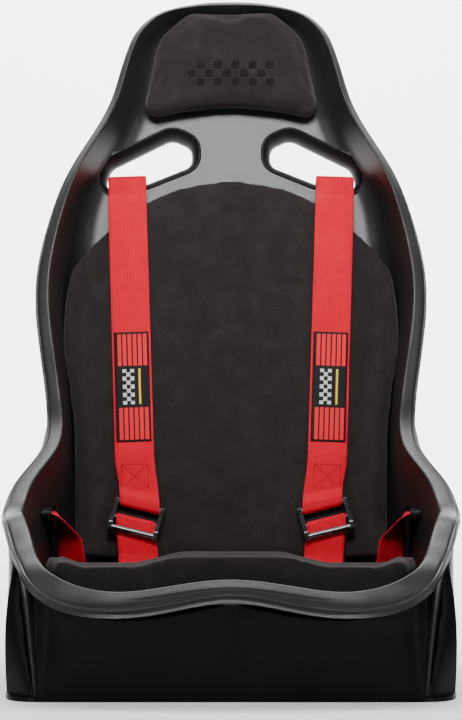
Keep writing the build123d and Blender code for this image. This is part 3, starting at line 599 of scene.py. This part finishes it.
def ring_profile(centre, foot, crest, outer, inward, radius):
    """Points from the centre over the panel, wall and rolled rim, and back along the outside."""
    pts = []
    to_centre, to_crest = unit(centre - foot), unit(crest - foot)
    angle = math.acos(max(-1, min(1, float(np.dot(to_centre, to_crest)))))
    cut = min(radius / math.tan(angle / 2), 0.6 * norm(crest - foot),
              0.8 * norm(centre - foot))
    start = foot + to_centre * cut
    end = foot + to_crest * cut
    pts += between(centre, start, 8, 0)
    for i in range(11):
        t = i / 10
        pts.append((1 - t)**2 * start + 2 * t * (1 - t) * foot + t * t * end)
    a = outer - crest
    length = norm(a)
    a = a / length
    b = unit(inward - a * np.dot(inward, a))
    k = max(0.62, min(1.0, length / 25))    # narrow rims carry a smaller section
    wall_top = crest - to_crest * 4.2 * k
    pts += between(end, wall_top, 8)
    # distance along the rim, height, and its datum: 0 the crest, 1 a share of the width, 2 the outer edge
    shape = [
        (0.5, -1.5, 0), (1.8, 0.2, 0), (3.6, 0.9, 0), (0.32, 1.3, 1), (0.5, 1.35, 1), (0.66, 1.0, 1),
        (-6.6, 0.5, 2), (-5.0, -0.3, 2), (-4.1, -1.1, 2), (-3.2, -0.5, 2),
        (-2.0, 0.1, 2), (-0.8, -0.2, 2), (0.0, -1.4, 2), (0.1, -3.6, 2),
    ]
    rim = [wall_top]
    for s, h, mode in shape:
        along = s * k if mode == 0 else (length * s if mode == 1 else length + s * k)
        rim.append(crest + a * along + b * h * k)
    rim.append(outer - inward * 7.6)
    pts.extend(smooth_curve(rim, 3))
    out_dir = unit(a - inward * np.dot(a, inward))
    under_out = outer - inward * 8 - out_dir * 1.5
    under_in = crest + out_dir * (SKIN + 1) - inward * 9
    foot_out = foot + out_dir * SKIN - inward * SKIN
    centre_out = centre - inward * SKIN
    pts.append(under_out)
    pts += between(under_out, under_in, 3) + [under_in]
    pts += between(under_in, foot_out, 6) + [foot_out]
    pts += between(foot_out, centre_out, 6) + [centre_out]
    return pts


def closed_spline(keys, spacing):
    """Rows through the key rows on a closed smooth curve; keys is rows x columns x 3."""
    keys = np.array(keys)
    n = len(keys)
    ref = keys[:, 30:40].mean(axis=1)       # the columns on the rim set the spacing
    gaps = np.array([max(norm(ref[(i + 1) % n] - ref[i]), 1e-6) for i in range(n)])
    system = np.zeros((n, n))
    right = np.zeros((n,) + keys.shape[1:])
    for i in range(n):
        before, after = gaps[i - 1], gaps[i]
        system[i, i - 1] += before
        system[i, i] += 2 * (before + after)
        system[i, (i + 1) % n] += after
        right[i] = 6 * ((keys[(i + 1) % n] - keys[i]) / after - (keys[i] - keys[i - 1]) / before)
    second = np.linalg.solve(system, right.reshape(n, -1)).reshape(right.shape)
    rows = []
    for i in range(n):
        j = (i + 1) % n
        h = gaps[i]
        count = max(1, int(round(h / spacing)))
        for k in range(count):
            t = h * k / count
            u = h - t
            rows.append(second[i] * u**3 / (6 * h) + second[j] * t**3 / (6 * h)
                        + (keys[i] / h - second[i] * h / 6) * u + (keys[j] / h - second[j] * h / 6) * t)
    return rows


def build_front_shell():
    """The moulded bucket as one closed ring of profiles, without its slots."""
    half = [ring_profile(*row) for row in key_rows()]
    mirrored = [[p * MIRROR for p in row] for row in half]
    loop = half + mirrored[-2:0:-1]
    rows = closed_spline(loop, 4.5)
    columns = len(rows[0])
    verts = [p for row in rows for p in row]
    faces = []
    for i in range(len(rows)):
        j = (i + 1) % len(rows)
        for c in range(columns - 1):
            faces.append((i * columns + c, i * columns + c + 1, j * columns + c + 1, j * columns + c))
    shell = new_object("front_shell_moulding", verts, faces)
    tidy_mesh(shell, 0.3)
    return shell


# shoulder slot as (x, distance up the back) with its corner radii, left side
SLOT_POINTS = [(-166, 574), (-157, 604), (-78, 645), (-55, 634), (-55, 611), (-112, 587)]
SLOT_RADII = [9, 18, 16, 12, 12, 20]
# lap slot in the side wall: centre y and z, half length between its round ends, and their radius
LAP_Y, LAP_Z, LAP_HALF, LAP_R = 20, 198, 21, 8


def slot_outline(side, grow, step=2.0):
    """Shoulder slot outline on the back panel, as (x, w) points, grown outwards."""
    path = rounded_path([(-side * x, w) for x, w in SLOT_POINTS], SLOT_RADII, step, closed=True)
    path = resample(path, step, closed=True)
    centre = sum(path) / len(path)
    out = []
    for i, p in enumerate(path):
        tangent = path[(i + 1) % len(path)] - path[i - 1]
        normal = unit(np.array([tangent[1], -tangent[0]]))
        if np.dot(normal, p - centre) < 0:
            normal = -normal
        out.append(p + normal * grow)
    return out


def lap_outline(points=32):
    """Lap slot outline in the side wall, as (y, z) points."""
    out = []
    for i in range(points):
        a = 2 * math.pi * (i + 0.5) / points
        end = LAP_HALF * (1 if math.cos(a) > 0 else -1)
        out.append((LAP_Y + end + LAP_R * math.cos(a), LAP_Z + LAP_R * math.sin(a)))
    return out


def prism(name, near, far):
    """Closed prism between two outlines of 3-D points."""
    n = len(near)
    faces = [(i, (i + 1) % n, n + (i + 1) % n, n + i) for i in range(n)]
    faces.append(tuple(range(n))[::-1])
    faces.append(tuple(range(n, 2 * n)))
    piece = new_object(name, list(near) + list(far), faces, body=None, smooth=False)
    tidy_mesh(piece)
    return piece


def cut(obj, cutters):
    """Subtract the cutters and remove them."""
    for cutter in cutters:
        modifier = obj.modifiers.new("cut", "BOOLEAN")
        modifier.operation = "DIFFERENCE"
        modifier.solver = "EXACT"
        modifier.object = cutter
        apply_modifiers(obj)
        bpy.data.objects.remove(cutter)


shell = build_front_shell()
cutters = []
for side in (-1, 1):
    outline = slot_outline(side, 13.0)
    cutters.append(prism("slot_cutter", [on_back(x, w, 12) for x, w in outline],
                         [on_back(x, w, -14) for x, w in outline]))
    cutters.append(prism("lap_cutter", [(side * 200, y, z) for y, z in lap_outline()],
                         [(side * 252, y, z) for y, z in lap_outline()]))
cut(shell, cutters)
shade(shell, 50)
paint(shell, shell_mat)
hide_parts("front_shell")


# ---------- shoulder slot bezels
def build_bezel(name, side):
    """Smooth funnel: a rolled lip that flares out of the panel, and a tube through to the rear shell."""
    # growth of the slot's outline and height above the panel
    rings = [
        (15.6, -0.4), (15.4, 1.0), (14.4, 2.0), (13.0, 2.1), (11.6, 1.2), (10.0, -0.8), (8.2, -3.4),
        (6.4, -6.6), (4.8, -10.4), (3.6, -14.6), (3.0, -19.0), (2.8, -25.6), (5.2, -25.8), (5.3, -20.0),
        (6.2, -13.0), (10.0, -6.0), (12.6, -2.4),
    ]
    verts, faces = [], []
    for grow, v in rings:
        outline = slot_outline(side, grow)
        verts += [on_back(x, w, v) for x, w in outline]
    n = len(outline)
    for i in range(len(rings)):
        j = (i + 1) % len(rings)
        for k in range(n):
            m = (k + 1) % n
            faces.append((i * n + k, i * n + m, j * n + m, j * n + k))
    bezel = new_object(f"{name}_slot_funnel", verts, faces)
    tidy_mesh(bezel, 0.01)
    shade(bezel)
    paint(bezel, bezel_mat)
    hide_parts(f"{name}_shoulder_bezel")


build_bezel("left", -1)
build_bezel("right", 1)


# ---------- base skirt
RIDGE_FOOT = (222, -264)      # the cut corner on the floor, from the ridge to the side wall
SIDE_FOOT = (257, -222)
LEDGE_CORNER = (254, -262)    # the plinth's own, nearly square corner
FLOOR_FRONT = [(0, -268), (43, -268), (84, -268), (122, -268), (155, -268), (180, -268), (198, -267.6),
               (209, -267.0), (216, -266.2), (219.5, -265.3), RIDGE_FOOT]
FLOOR_SIDE = [SIDE_FOOT, (257.5, -145), (257, -95), (257, -40), (256.5, 30), (254, 100)]
FLOOR_REAR = [FLOOR_SIDE[-1], (251.0, 136), (226.0, 164), (170.0, 166), (0.0, 166)]
PLINTH_HIGH, PLINTH_OUT = 4.5, 1.6


def on_floor(points):
    return [np.array([x, y, 0.0]) for x, y in points]


def skirt_runs():
    """The top and floor lines of the front, the cut corner, the side and the rear, and points per span."""
    keys = key_rows()
    front = keys[len(top_rows) + len(side_rows):][::-1]
    sides = keys[len(top_rows):len(top_rows) + len(side_rows)][::-1][:7]
    tops_front, tops_side = [], []
    for row in front:
        outer, inward = row[3], row[4]
        lean = [outer[0] * 0.12, -1.0, 0] if outer[0] < 200 else [outer[0] * 0.02, -3.0, 0]
        tops_front.append(outer - unit(np.array(lean)) * 16 - inward * 10.5)
    for row in sides:
        outer, inward = row[3], row[4]
        tops_side.append(outer - BACK_ACROSS * 6 - inward * 10.5)
    tops_front += tops_side[:2]
    tops_side = tops_side[1:]
    tops_side[0] = tops_side[0] + np.array([1.5, 12.0, 2.0])
    rear_tops = [tops_side[-1], np.array([219.0, 140, 309]), np.array([196.0, 208, 290.5]),
                 np.array([150.0, 214, 289]), np.array([0.0, 216, 288.5])]
    return [
        (tops_front, on_floor(FLOOR_FRONT), 7),
        ([tops_front[-1], tops_side[0]], on_floor([RIDGE_FOOT, SIDE_FOOT]), 9),
        (tops_side, on_floor(FLOOR_SIDE), 9),
        (rear_tops, on_floor(FLOOR_REAR), 10),
    ]


def build_skirt():
    """Skirt wall from the floor up to the underside of the rim, with a cut corner that widens downwards."""
    runs = skirt_runs()
    ledge = [np.array(spot, float) for spot in (RIDGE_FOOT, LEDGE_CORNER, SIDE_FOOT)]
    columns = []
    for index, (tops, floors, per_span) in enumerate(runs):
        top_line = smooth_curve(tops, per_span)
        floor_line = smooth_curve(floors, per_span)
        if index:
            top_line, floor_line = top_line[1:], floor_line[1:]
        columns += list(zip(top_line, floor_line, [index] * len(top_line)))
    ridge = runs[0][2] * (len(runs[0][0]) - 1)
    verts, faces = [], []
    for c, (top, floor, run) in enumerate(columns):
        power = 1.0 - 0.2 * math.exp(-((c - ridge) / 6.0)**2)
        if run == 0 and c < ridge - 12:
            power = 2.2 - 1.2 * max(0.0, 1 - (ridge - 12 - c) / 14)
        past_ridge = min(1.0, max(0.0, (c - ridge) / 9))
        if run:
            power = 0.8 + 2.4 * past_ridge
        outward = unit(np.array([floor[0] * 0.9, floor[1], 0.0]))
        if run == 0:
            outward = np.array([0.0, -1.0, 0.0])
        levels = [0, 0.8, 4.4, 5.2] + [6.0 + (top[2] - 6.0) * (i / 32) for i in range(33)]
        turn = past_ridge if run < 2 else 0.0
        corner = (1 - turn)**2 * ledge[0] + 2 * turn * (1 - turn) * ledge[1] + turn**2 * ledge[2]
        for level in levels:
            t = level / top[2]
            spot = floor + (top - floor) * (t**power)
            spot[2] = top[2] * t
            z = spot[2]
            if run == 1 or (run == 2 and z > 70):
                spot[0] += 3.0 * math.sin(math.pi * t) * min(1.0, (c - ridge) / 9)
            low = 1.0 if z < PLINTH_HIGH else max(0.0, 1 - (z - PLINTH_HIGH) / 1.4)
            plinth = PLINTH_OUT * low
            if run == 0:
                plinth *= min(1.0, max(0.0, (c - ridge + 24) / 12))
            if 0.0 < turn < 1.0:
                spot[:2] += (corner - spot[:2]) * low
            verts.append(spot + outward * plinth)
    n = len(levels)
    for c in range(len(columns) - 1):
        for k in range(n - 1):
            faces.append((c * n + k, c * n + k + 1, (c + 1) * n + k + 1, (c + 1) * n + k))
    shift = len(verts)
    verts += [v * MIRROR for v in verts]
    faces += [tuple(i + shift for i in f[::-1]) for f in faces]
    skirt = new_object("base_skirt_moulding", verts, faces)
    tidy_mesh(skirt, 0.1)
    solid = skirt.modifiers.new("wall", "SOLIDIFY")
    solid.thickness = 4 * MM
    solid.offset = -1
    apply_modifiers(skirt)
    for vertex in skirt.data.vertices:
        vertex.co.z = max(vertex.co.z, 0.0)
    shade(skirt, 28)
    paint(skirt, skirt_mat)
    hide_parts("base_skirt")


build_skirt()


# ---------- pads
PUFF_PRESSURE = 4.0
PUFF_FRAMES = 20


def puff(source, name, voxel, shrink, cap, fit=None, material=suede_mat):
    """Pad from a CAD solid: remeshed, fitted to the moulding, then blown up as cloth by no more than cap."""
    piece = bpy.data.objects.new(name, nodes[source].data.copy())
    scene.collection.objects.link(piece)
    tidy_mesh(piece, 0.01)
    remesh = piece.modifiers.new("remesh", "REMESH")
    remesh.mode = "VOXEL"
    remesh.voxel_size = voxel * MM
    apply_modifiers(piece)
    soften = piece.modifiers.new("soften", "SMOOTH")
    soften.factor = 0.5
    soften.iterations = 6
    apply_modifiers(piece)
    mesh = piece.data
    start = read_vectors(mesh.vertices, "co") - read_vectors(mesh.vertex_normals, "vector") * shrink * MM
    if fit:
        start = np.array([fit(spot / MM) for spot in start]) * MM
    mesh.vertices.foreach_set("co", start.ravel())
    mesh.update()
    cloth = piece.modifiers.new("cloth", "CLOTH")
    settings = cloth.settings
    settings.quality = 4
    settings.use_pressure = True
    settings.uniform_pressure_force = PUFF_PRESSURE
    settings.effector_weights.gravity = 0
    settings.tension_stiffness = 12
    settings.compression_stiffness = 12
    settings.bending_stiffness = 1.5
    cloth.point_cache.frame_start = 1
    cloth.point_cache.frame_end = PUFF_FRAMES
    for f in range(1, PUFF_FRAMES + 1):
        scene.frame_set(f)
    deps = bpy.context.evaluated_depsgraph_get()
    move = read_vectors(piece.evaluated_get(deps).data.vertices, "co") - start
    size = norm(move, axis=1, keepdims=True)
    move = move * np.minimum(1.0, cap * MM / np.maximum(size, 1e-9))
    piece.modifiers.clear()
    mesh.vertices.foreach_set("co", (start + move).ravel())
    mesh.update()
    scene.frame_set(1)
    divide = piece.modifiers.new("divide", "SUBSURF")
    divide.levels = 1
    divide.render_levels = 1
    apply_modifiers(piece)
    shade(piece)
    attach(piece, "seat")
    paint(piece, material)
    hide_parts(source)
    return piece


def fit_head(spot):
    """The head pad's top edge follows the rim a little higher, with rounder corners."""
    x, y, z = spot
    rise = min(1.0, max(0.0, (z - 735) / 75))
    corner = 4.0 * math.exp(-((abs(x) - 84)**2 + (z - 816)**2) / 1300)
    lift = 4.5 * rise * rise + 0.66 * corner
    return np.array([x + math.copysign(0.75 * corner, x), y + lift * RS / RC, z + lift])


def fit_back(spot):
    """The back pad's side bolsters reach out to the wall below the shoulder straps."""
    x, y, z = spot
    low = min(1.0, max(0.0, (520 - z) / 120))
    extra = max(0.0, abs(x) - 150) * 0.26 * low
    return np.array([x + math.copysign(extra, x), y, z])


head = puff("head_pad", "head_pad_suede", 4.0, 2.0, 4.0, fit=fit_head, material=pressed_mat)
back = puff("back_pad", "back_pad_suede", 5.0, 1.5, 2.0, fit=fit_back)
cushion = puff("seat_cushion", "seat_cushion_suede", 5.0, 1.6, 4.0)


# ---------- webbing
WEB_WIDE, WEB_THICK, WEB_STEP, WEB_EDGE = 50.0, 2.0, 4.0, 0.9


def ribbon_mesh(origin, along, out, across, path, radii, warp=None):
    """Vertices, faces, weave coordinates and length of webbing swept along a path drawn on its edge."""
    line = rounded_path(path, radii, 1.2)
    dense = [line[0]]
    for p in line[1:]:
        gap = norm(p - dense[-1])
        pieces = max(1, int(gap / WEB_STEP))
        base = dense[-1]
        for i in range(1, pieces + 1):
            dense.append(base + (p - base) * i / pieces)
    dense = [p for i, p in enumerate(dense) if i == 0 or norm(p - dense[i - 1]) > 1e-4]
    verts, uvs, faces = [], [], []
    half, rise, count = WEB_WIDE / 2, WEB_THICK / 2, 12
    across_face = [-half + WEB_EDGE + (WEB_WIDE - 2 * WEB_EDGE) * i / count for i in range(count + 1)]
    ring = [(-half, 0.0)] + [(x, rise) for x in across_face]
    ring += [(half, 0.0)] + [(x, -rise) for x in reversed(across_face)]
    length = 0.0
    for i, p in enumerate(dense):
        if i:
            length += norm(p - dense[i - 1])
        tangent = unit(dense[min(i + 1, len(dense) - 1)] - dense[max(i - 1, 0)])
        normal = np.array([-tangent[1], tangent[0]])
        for x, h in ring:
            spot = p + normal * h
            more_along, more_across = warp(spot, x) if warp else (0.0, 0.0)
            verts.append(origin + along * (spot[0] + more_along) + out * spot[1] + across * (x + more_across))
            uvs.append((x + half, length))
    n = len(ring)
    for i in range(len(dense) - 1):
        for j in range(n):
            k = (j + 1) % n
            faces.append((i * n + j, i * n + k, (i + 1) * n + k, (i + 1) * n + j))
    faces.append(tuple(range(n))[::-1])
    faces.append(tuple(range((len(dense) - 1) * n, len(dense) * n)))
    return verts, faces, uvs, length


def joined(name, parts, body):
    """One object from several swept meshes."""
    verts, faces, uvs = [], [], []
    for v, f, u, _ in parts:
        shift = len(verts)
        verts += v
        uvs += u
        faces += [tuple(i + shift for i in face) for face in f]
    obj = new_object(name, verts, faces, body=body, uvs=uvs)
    face_outwards(obj)
    shade(obj, 60)
    return obj


def edge_frame(side, turn, x, w, v):
    """Origin, along, out and across of a strap turned in the back panel's plane."""
    turned = math.radians(turn) * side
    along = np.array([math.sin(turned), RS * math.cos(turned), RC * math.cos(turned)])
    return on_back(x, w, v), along, BACK_OUT, np.cross(along, BACK_OUT)


# the adjuster's upper bar: distance up the back, height, radius, degrees of tilt and shift inwards
BAR_W, BAR_V, BAR_R, BAR_TURN, BAR_SHIFT = 138.0, 30.8, 3.0, -14.0, 5.0
BAR_GAP = 20.0            # down to the middle bar
LOWER_TURN = -1.0
loop_r = BAR_R + 0.6 + WEB_THICK / 2
# paths of the webbing's centre line as (along, out), from the hidden anchor to the adjuster and back
upper_path = [
    (495, -32.7), (470, -32.7), (454, -41.5), (434.5, -41.5), (434.5, -30.5), (588.5, -30.5),
    (588.5, 6.5), (574, 9), (553, 26), (221, 26), (207, 28.2), (158, 28.6), (146, 35.4),
    (133.4, 35.4), (133.4, 26.2), (146, 26.1), (204, 25.9),
]
upper_radii = [8, 8, 5.4, 5.4, 5, 5, 8, 14, 30, 30, 10, 6, 4.5, 4.5, 8]
lower_path = [
    (-100.5, 21.5), (-94, -2.65), (-60, -2.65), (-44, -4.6), (loop_r - BAR_GAP, -4.6),
    (loop_r - BAR_GAP, 4.6), (-44, 4.6), (-62, -0.2), (-84, -0.2), (-91, 3.0),
]
lower_radii = [20, 20, 8, 4.5, 4.5, 8, 20, 6]
tab_path = [(76, 112), (61.8, 112), (61.8, 118), (76, 118), (84, 116)]
tab_radii = [2.9, 2.9, 6]
lap_path = [
    (241.4, 150), (241.4, 128), (232.5, 112), (232.5, 94.5), (243.5, 94.5), (243.5, 193),
    (236, 199), (213, 198), (204, 140), (194, 118), (160, 118),
]
lap_radii = [8, 8, 5.4, 5.4, 4, 5, 12, 12, 12]
buckle_path = [
    (95, 119.9), (72, 119.9), (62, 120.6), (44.9, 120.6), (44.9, 114.4), (58, 114.4), (72, 118), (98, 118),
]
buckle_radii = [12, 12, 3, 3, 12, 12]
LAP_FLAT = 118            # height of the lap strap where it lies on the cushion


def bar_frame(side, turn):
    """Frame of the adjuster's upper bar, turned in the back panel's plane."""
    x = side * (STRAP_FOOT - BAR_SHIFT + BAR_W * math.tan(math.radians(STRAP_SLANT)))
    return edge_frame(side, turn, x, BAR_W, BAR_V)


def eased(share):
    """Share from 0 to 1, clamped, with a soft start and end."""
    t = min(1.0, max(0.0, share))
    return t * t * (3 - 2 * t)


def stitches(name, strap_frame):
    """Boxed cross of thread that holds the strap's fold, a little proud of the webbing."""
    origin, along, out, across = strap_frame
    left, right, low, high = -17.0, 17.0, 162.0, 193.0
    stitch, thread_half, face, buried = 3.2, 0.45, 29.15, 28.9
    corners = [(left, low), (right, low), (right, high), (left, high)]
    lines = [(corners[i], corners[(i + 1) % 4]) for i in range(4)]
    lines += [(corners[0], corners[2]), (corners[1], corners[3])]
    verts, faces = [], []
    for start, end in lines:
        start, end = np.array(start), np.array(end)
        length = norm(end - start)
        direction = (end - start) / length
        normal = np.array([-direction[1], direction[0]])
        count = int(length / stitch)
        for i in range(count):
            a = start + direction * (length * i / count + 0.4)
            b = start + direction * (length * (i + 1) / count - 0.4)
            base = len(verts)
            for end_point, height in ((a, 0.1), ((a * 3 + b) / 4, 0.5), ((a + b * 3) / 4, 0.5), (b, 0.1)):
                for q in (-thread_half, thread_half):
                    x, w = end_point + normal * q
                    verts.append(origin + along * w + out * (face + height) + across * x)
                    verts.append(origin + along * w + out * buried + across * x)
            for k in range(3):
                m = base + 4 * k
                faces += [(m, m + 4, m + 6, m + 2), (m + 1, m + 3, m + 7, m + 5), (m, m + 1, m + 5, m + 4),
                          (m + 2, m + 6, m + 7, m + 3)]
            faces += [(base, base + 2, base + 3, base + 1), (base + 12, base + 13, base + 15, base + 14)]
    thread = new_object(name, verts, faces, uvs=[(0.0, 0.0)] * len(verts))
    paint(thread, stitch_mat)


def label(name, strap_frame):
    """Sewn badge: black border, red stripes at both ends and a plain chequer between them."""
    origin, along, out, across = strap_frame
    verts, uvs, faces = [], [], []
    low, high, half = 223.0, 369.0, 22.4
    rows, columns = 46, 12
    for top in (True, False):
        for i in range(rows + 1):
            for j in range(columns + 1):
                u, t = j / columns, i / rows
                edge = min(u, 1 - u) * 2 * half
                edge = min(edge, min(t, 1 - t) * (high - low))
                rise = 27.05 + (0.65 if edge > 1.0 else 0.3) if top else 27.02
                w, x = low + (high - low) * t, (u * 2 - 1) * half
                verts.append(origin + along * w + out * rise + across * x)
                uvs.append((u, t))
    n = columns + 1
    layer = (rows + 1) * n
    for i in range(rows):
        for j in range(columns):
            a = i * n + j
            faces.append((a, a + 1, a + n + 1, a + n))
            faces.append((layer + a, layer + a + n, layer + a + n + 1, layer + a + 1))
    rim = ([j for j in range(n)] + [i * n + columns for i in range(1, rows + 1)]
           + [rows * n + j for j in range(columns - 1, -1, -1)] + [i * n for i in range(rows - 1, 0, -1)])
    for k, a in enumerate(rim):
        b = rim[(k + 1) % len(rim)]
        faces.append((a, layer + a, layer + b, b))
    badge = new_object(f"{name}_strap_badge", verts, faces, uvs=uvs)
    face_outwards(badge)
    paint(badge, label_mat)
    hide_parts(f"{name}_strap_label")


for name, side in (("left", -1), ("right", 1)):
    strap_frame = edge_frame(side, STRAP_SLANT, side * STRAP_FOOT, 0, 0)
    bar_across = bar_frame(side, BAR_TURN)[3]

    def toward_bar(spot, x, slope=np.dot(bar_across, strap_frame[1]) / np.dot(bar_across, strap_frame[3]),
                   shift=BAR_SHIFT * np.dot(strap_frame[3], [-side, 0, 0])):
        """Leads the strap over to the tilted adjuster bar."""
        share = eased((206 - spot[0]) / 60)
        return x * slope * share, shift * share

    upper = ribbon_mesh(*strap_frame, upper_path, upper_radii, warp=toward_bar)
    strap = joined(f"{name}_shoulder_webbing", [upper], "seat")
    paint(strap, web_mat)
    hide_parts(f"{name}_shoulder_strap")
    lower_frame = bar_frame(side, LOWER_TURN)
    bar_along = bar_frame(side, BAR_TURN)[1]

    def toward_mid_bar(spot, x, slope=np.dot(bar_across, lower_frame[1]) / np.dot(bar_across, lower_frame[3]),
                       drift=np.dot(bar_along, lower_frame[3]) * -BAR_GAP):
        """Leads the lower strap over to the adjuster's tilted middle bar."""
        share = eased((spot[0] + 70) / 50)
        return x * slope * share, drift * share

    low = [ribbon_mesh(*lower_frame, lower_path, lower_radii, warp=toward_mid_bar)]
    origin, along, out = lower_frame[:3]
    foot_along, foot_out = lower_path[1]
    foot_x = (origin + along * foot_along + out * foot_out)[0]
    y_axis = np.array([0.0, 1, 0])
    low.append(ribbon_mesh(np.array([foot_x, 0, 0]), y_axis, UP, BACK_ACROSS, tab_path, tab_radii))
    lower = joined(f"{name}_lower_webbing", low, f"{name}_harness_end")
    paint(lower, web_mat)
    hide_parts(f"{name}_lower_strap")
    stitches(f"{name}_strap_stitches", strap_frame)
    label(name, strap_frame)
    x_axis = np.array([float(side), 0, 0])

    def over_bolster(spot, x):
        """Turns the lap strap's face towards the front where it crosses the cushion's bolster."""
        if spot[0] > 231 or spot[1] < 118.5:
            return 0.0, 0.0
        t = min(1.0, max(0.0, (198 - spot[1]) / 30)) * min(1.0, max(0.0, (spot[1] - 119) / 16))
        return (0.72 * x - 7.0) * t, 0.0

    ends = [ribbon_mesh(np.array([0, 20.0, 0]), x_axis, UP, y_axis, lap_path, lap_radii, warp=over_bolster),
            ribbon_mesh(np.array([0, -40.0, 0]), x_axis, UP, y_axis, buckle_path, buckle_radii)]
    start, stop = np.array([side * 182, 20.0, LAP_FLAT]), np.array([side * 84, -40.0, LAP_FLAT])
    run = unit(stop - start)
    straight = [(0, 0), (float(norm(stop - start)), 0)]
    ends.append(ribbon_mesh(start, run, UP, np.cross(UP, run), straight, []))
    lap = joined(f"{name}_lap_webbing", ends, "seat")
    paint(lap, web_mat)
    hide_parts(f"{name}_lap_strap")


# ---------- stage, lights and camera
def area(name, place, target, size, size_y, power, spread=180):
    """Rectangular light at a place in metres, facing a target; spread in degrees."""
    data = bpy.data.lights.new(name, "AREA")
    data.shape = "RECTANGLE"
    data.size = size
    data.size_y = size_y
    data.energy = power
    data.spread = math.radians(spread)
    lamp = bpy.data.objects.new(name, data)
    lamp.location = place
    lamp.rotation_euler = (Vector(target) - Vector(place)).to_track_quat("-Z", "Y").to_euler()
    scene.collection.objects.link(lamp)


def build_stage():
    """Pale floor that sweeps up into a backdrop."""
    verts, faces = [], []
    half, bend_at, sweep, steps = 6.0, 5.0, 1.2, 12      # metres
    outline = [(-half, 0.0), (bend_at, 0.0)]
    for i in range(1, steps + 1):
        a = math.pi / 2 * i / steps
        outline.append((bend_at + sweep * math.sin(a), sweep - sweep * math.cos(a)))
    outline.append((bend_at + sweep, half))
    for y, z in outline:
        verts += [(-half / MM, y / MM, z / MM), (half / MM, y / MM, z / MM)]
    for i in range(len(outline) - 1):
        faces.append((2 * i, 2 * i + 1, 2 * i + 3, 2 * i + 2))
    floor = new_object("stage_floor", verts, faces, body=None)
    mat, tree, bsdf = bare("stage_paper")
    coords = object_coords(tree)
    wire(ramp(tree, noise(tree, coords, 2.0), [(0.0, grey(0.86)), (1.0, grey(0.88))]),
                   bsdf.inputs["Base Color"])
    set_inputs(bsdf, {"Roughness": 0.9, "Specular IOR Level": 0.1})
    floor.data.materials.append(mat)


build_stage()
world = bpy.data.worlds.new("studio")
world.use_nodes = True
sky = world.node_tree.nodes["Background"]
sky.inputs[0].default_value = (1, 1, 1, 1)
sky.inputs[1].default_value = 0.08
scene.world = world
area("top_softbox", (0, -1.9, 2.15), (0, 0.2, 0.84), 1.3, 0.6, 17, spread=60)
area("crown_light", (0, 0.5, 2.2), (0, 0.1, 0.6), 1.6, 0.6, 36)
area("left_strip", (-1.70, -1.35, 1.0), (0, 0.0, 0.45), 0.25, 1.9, 12.5)
area("right_strip", (1.70, -1.35, 1.0), (0, 0.0, 0.45), 0.25, 1.9, 12.5)
area("floor_wash", (0, 1.4, 3.0), (0, 4.2, 0.2), 5.0, 1.2, 420)
area("backdrop_wash", (0, 3.9, 3.2), (0, 6.2, 1.0), 6.0, 1.2, 640)

camera_data = bpy.data.cameras.new("camera")
camera_data.lens = 136.35
camera_data.sensor_width = 36.0
camera = bpy.data.objects.new("camera", camera_data)
camera.location = (0, -3.350, 0.387)
camera.rotation_euler = (math.pi / 2, 0, 0)
scene.collection.objects.link(camera)
scene.camera = camera
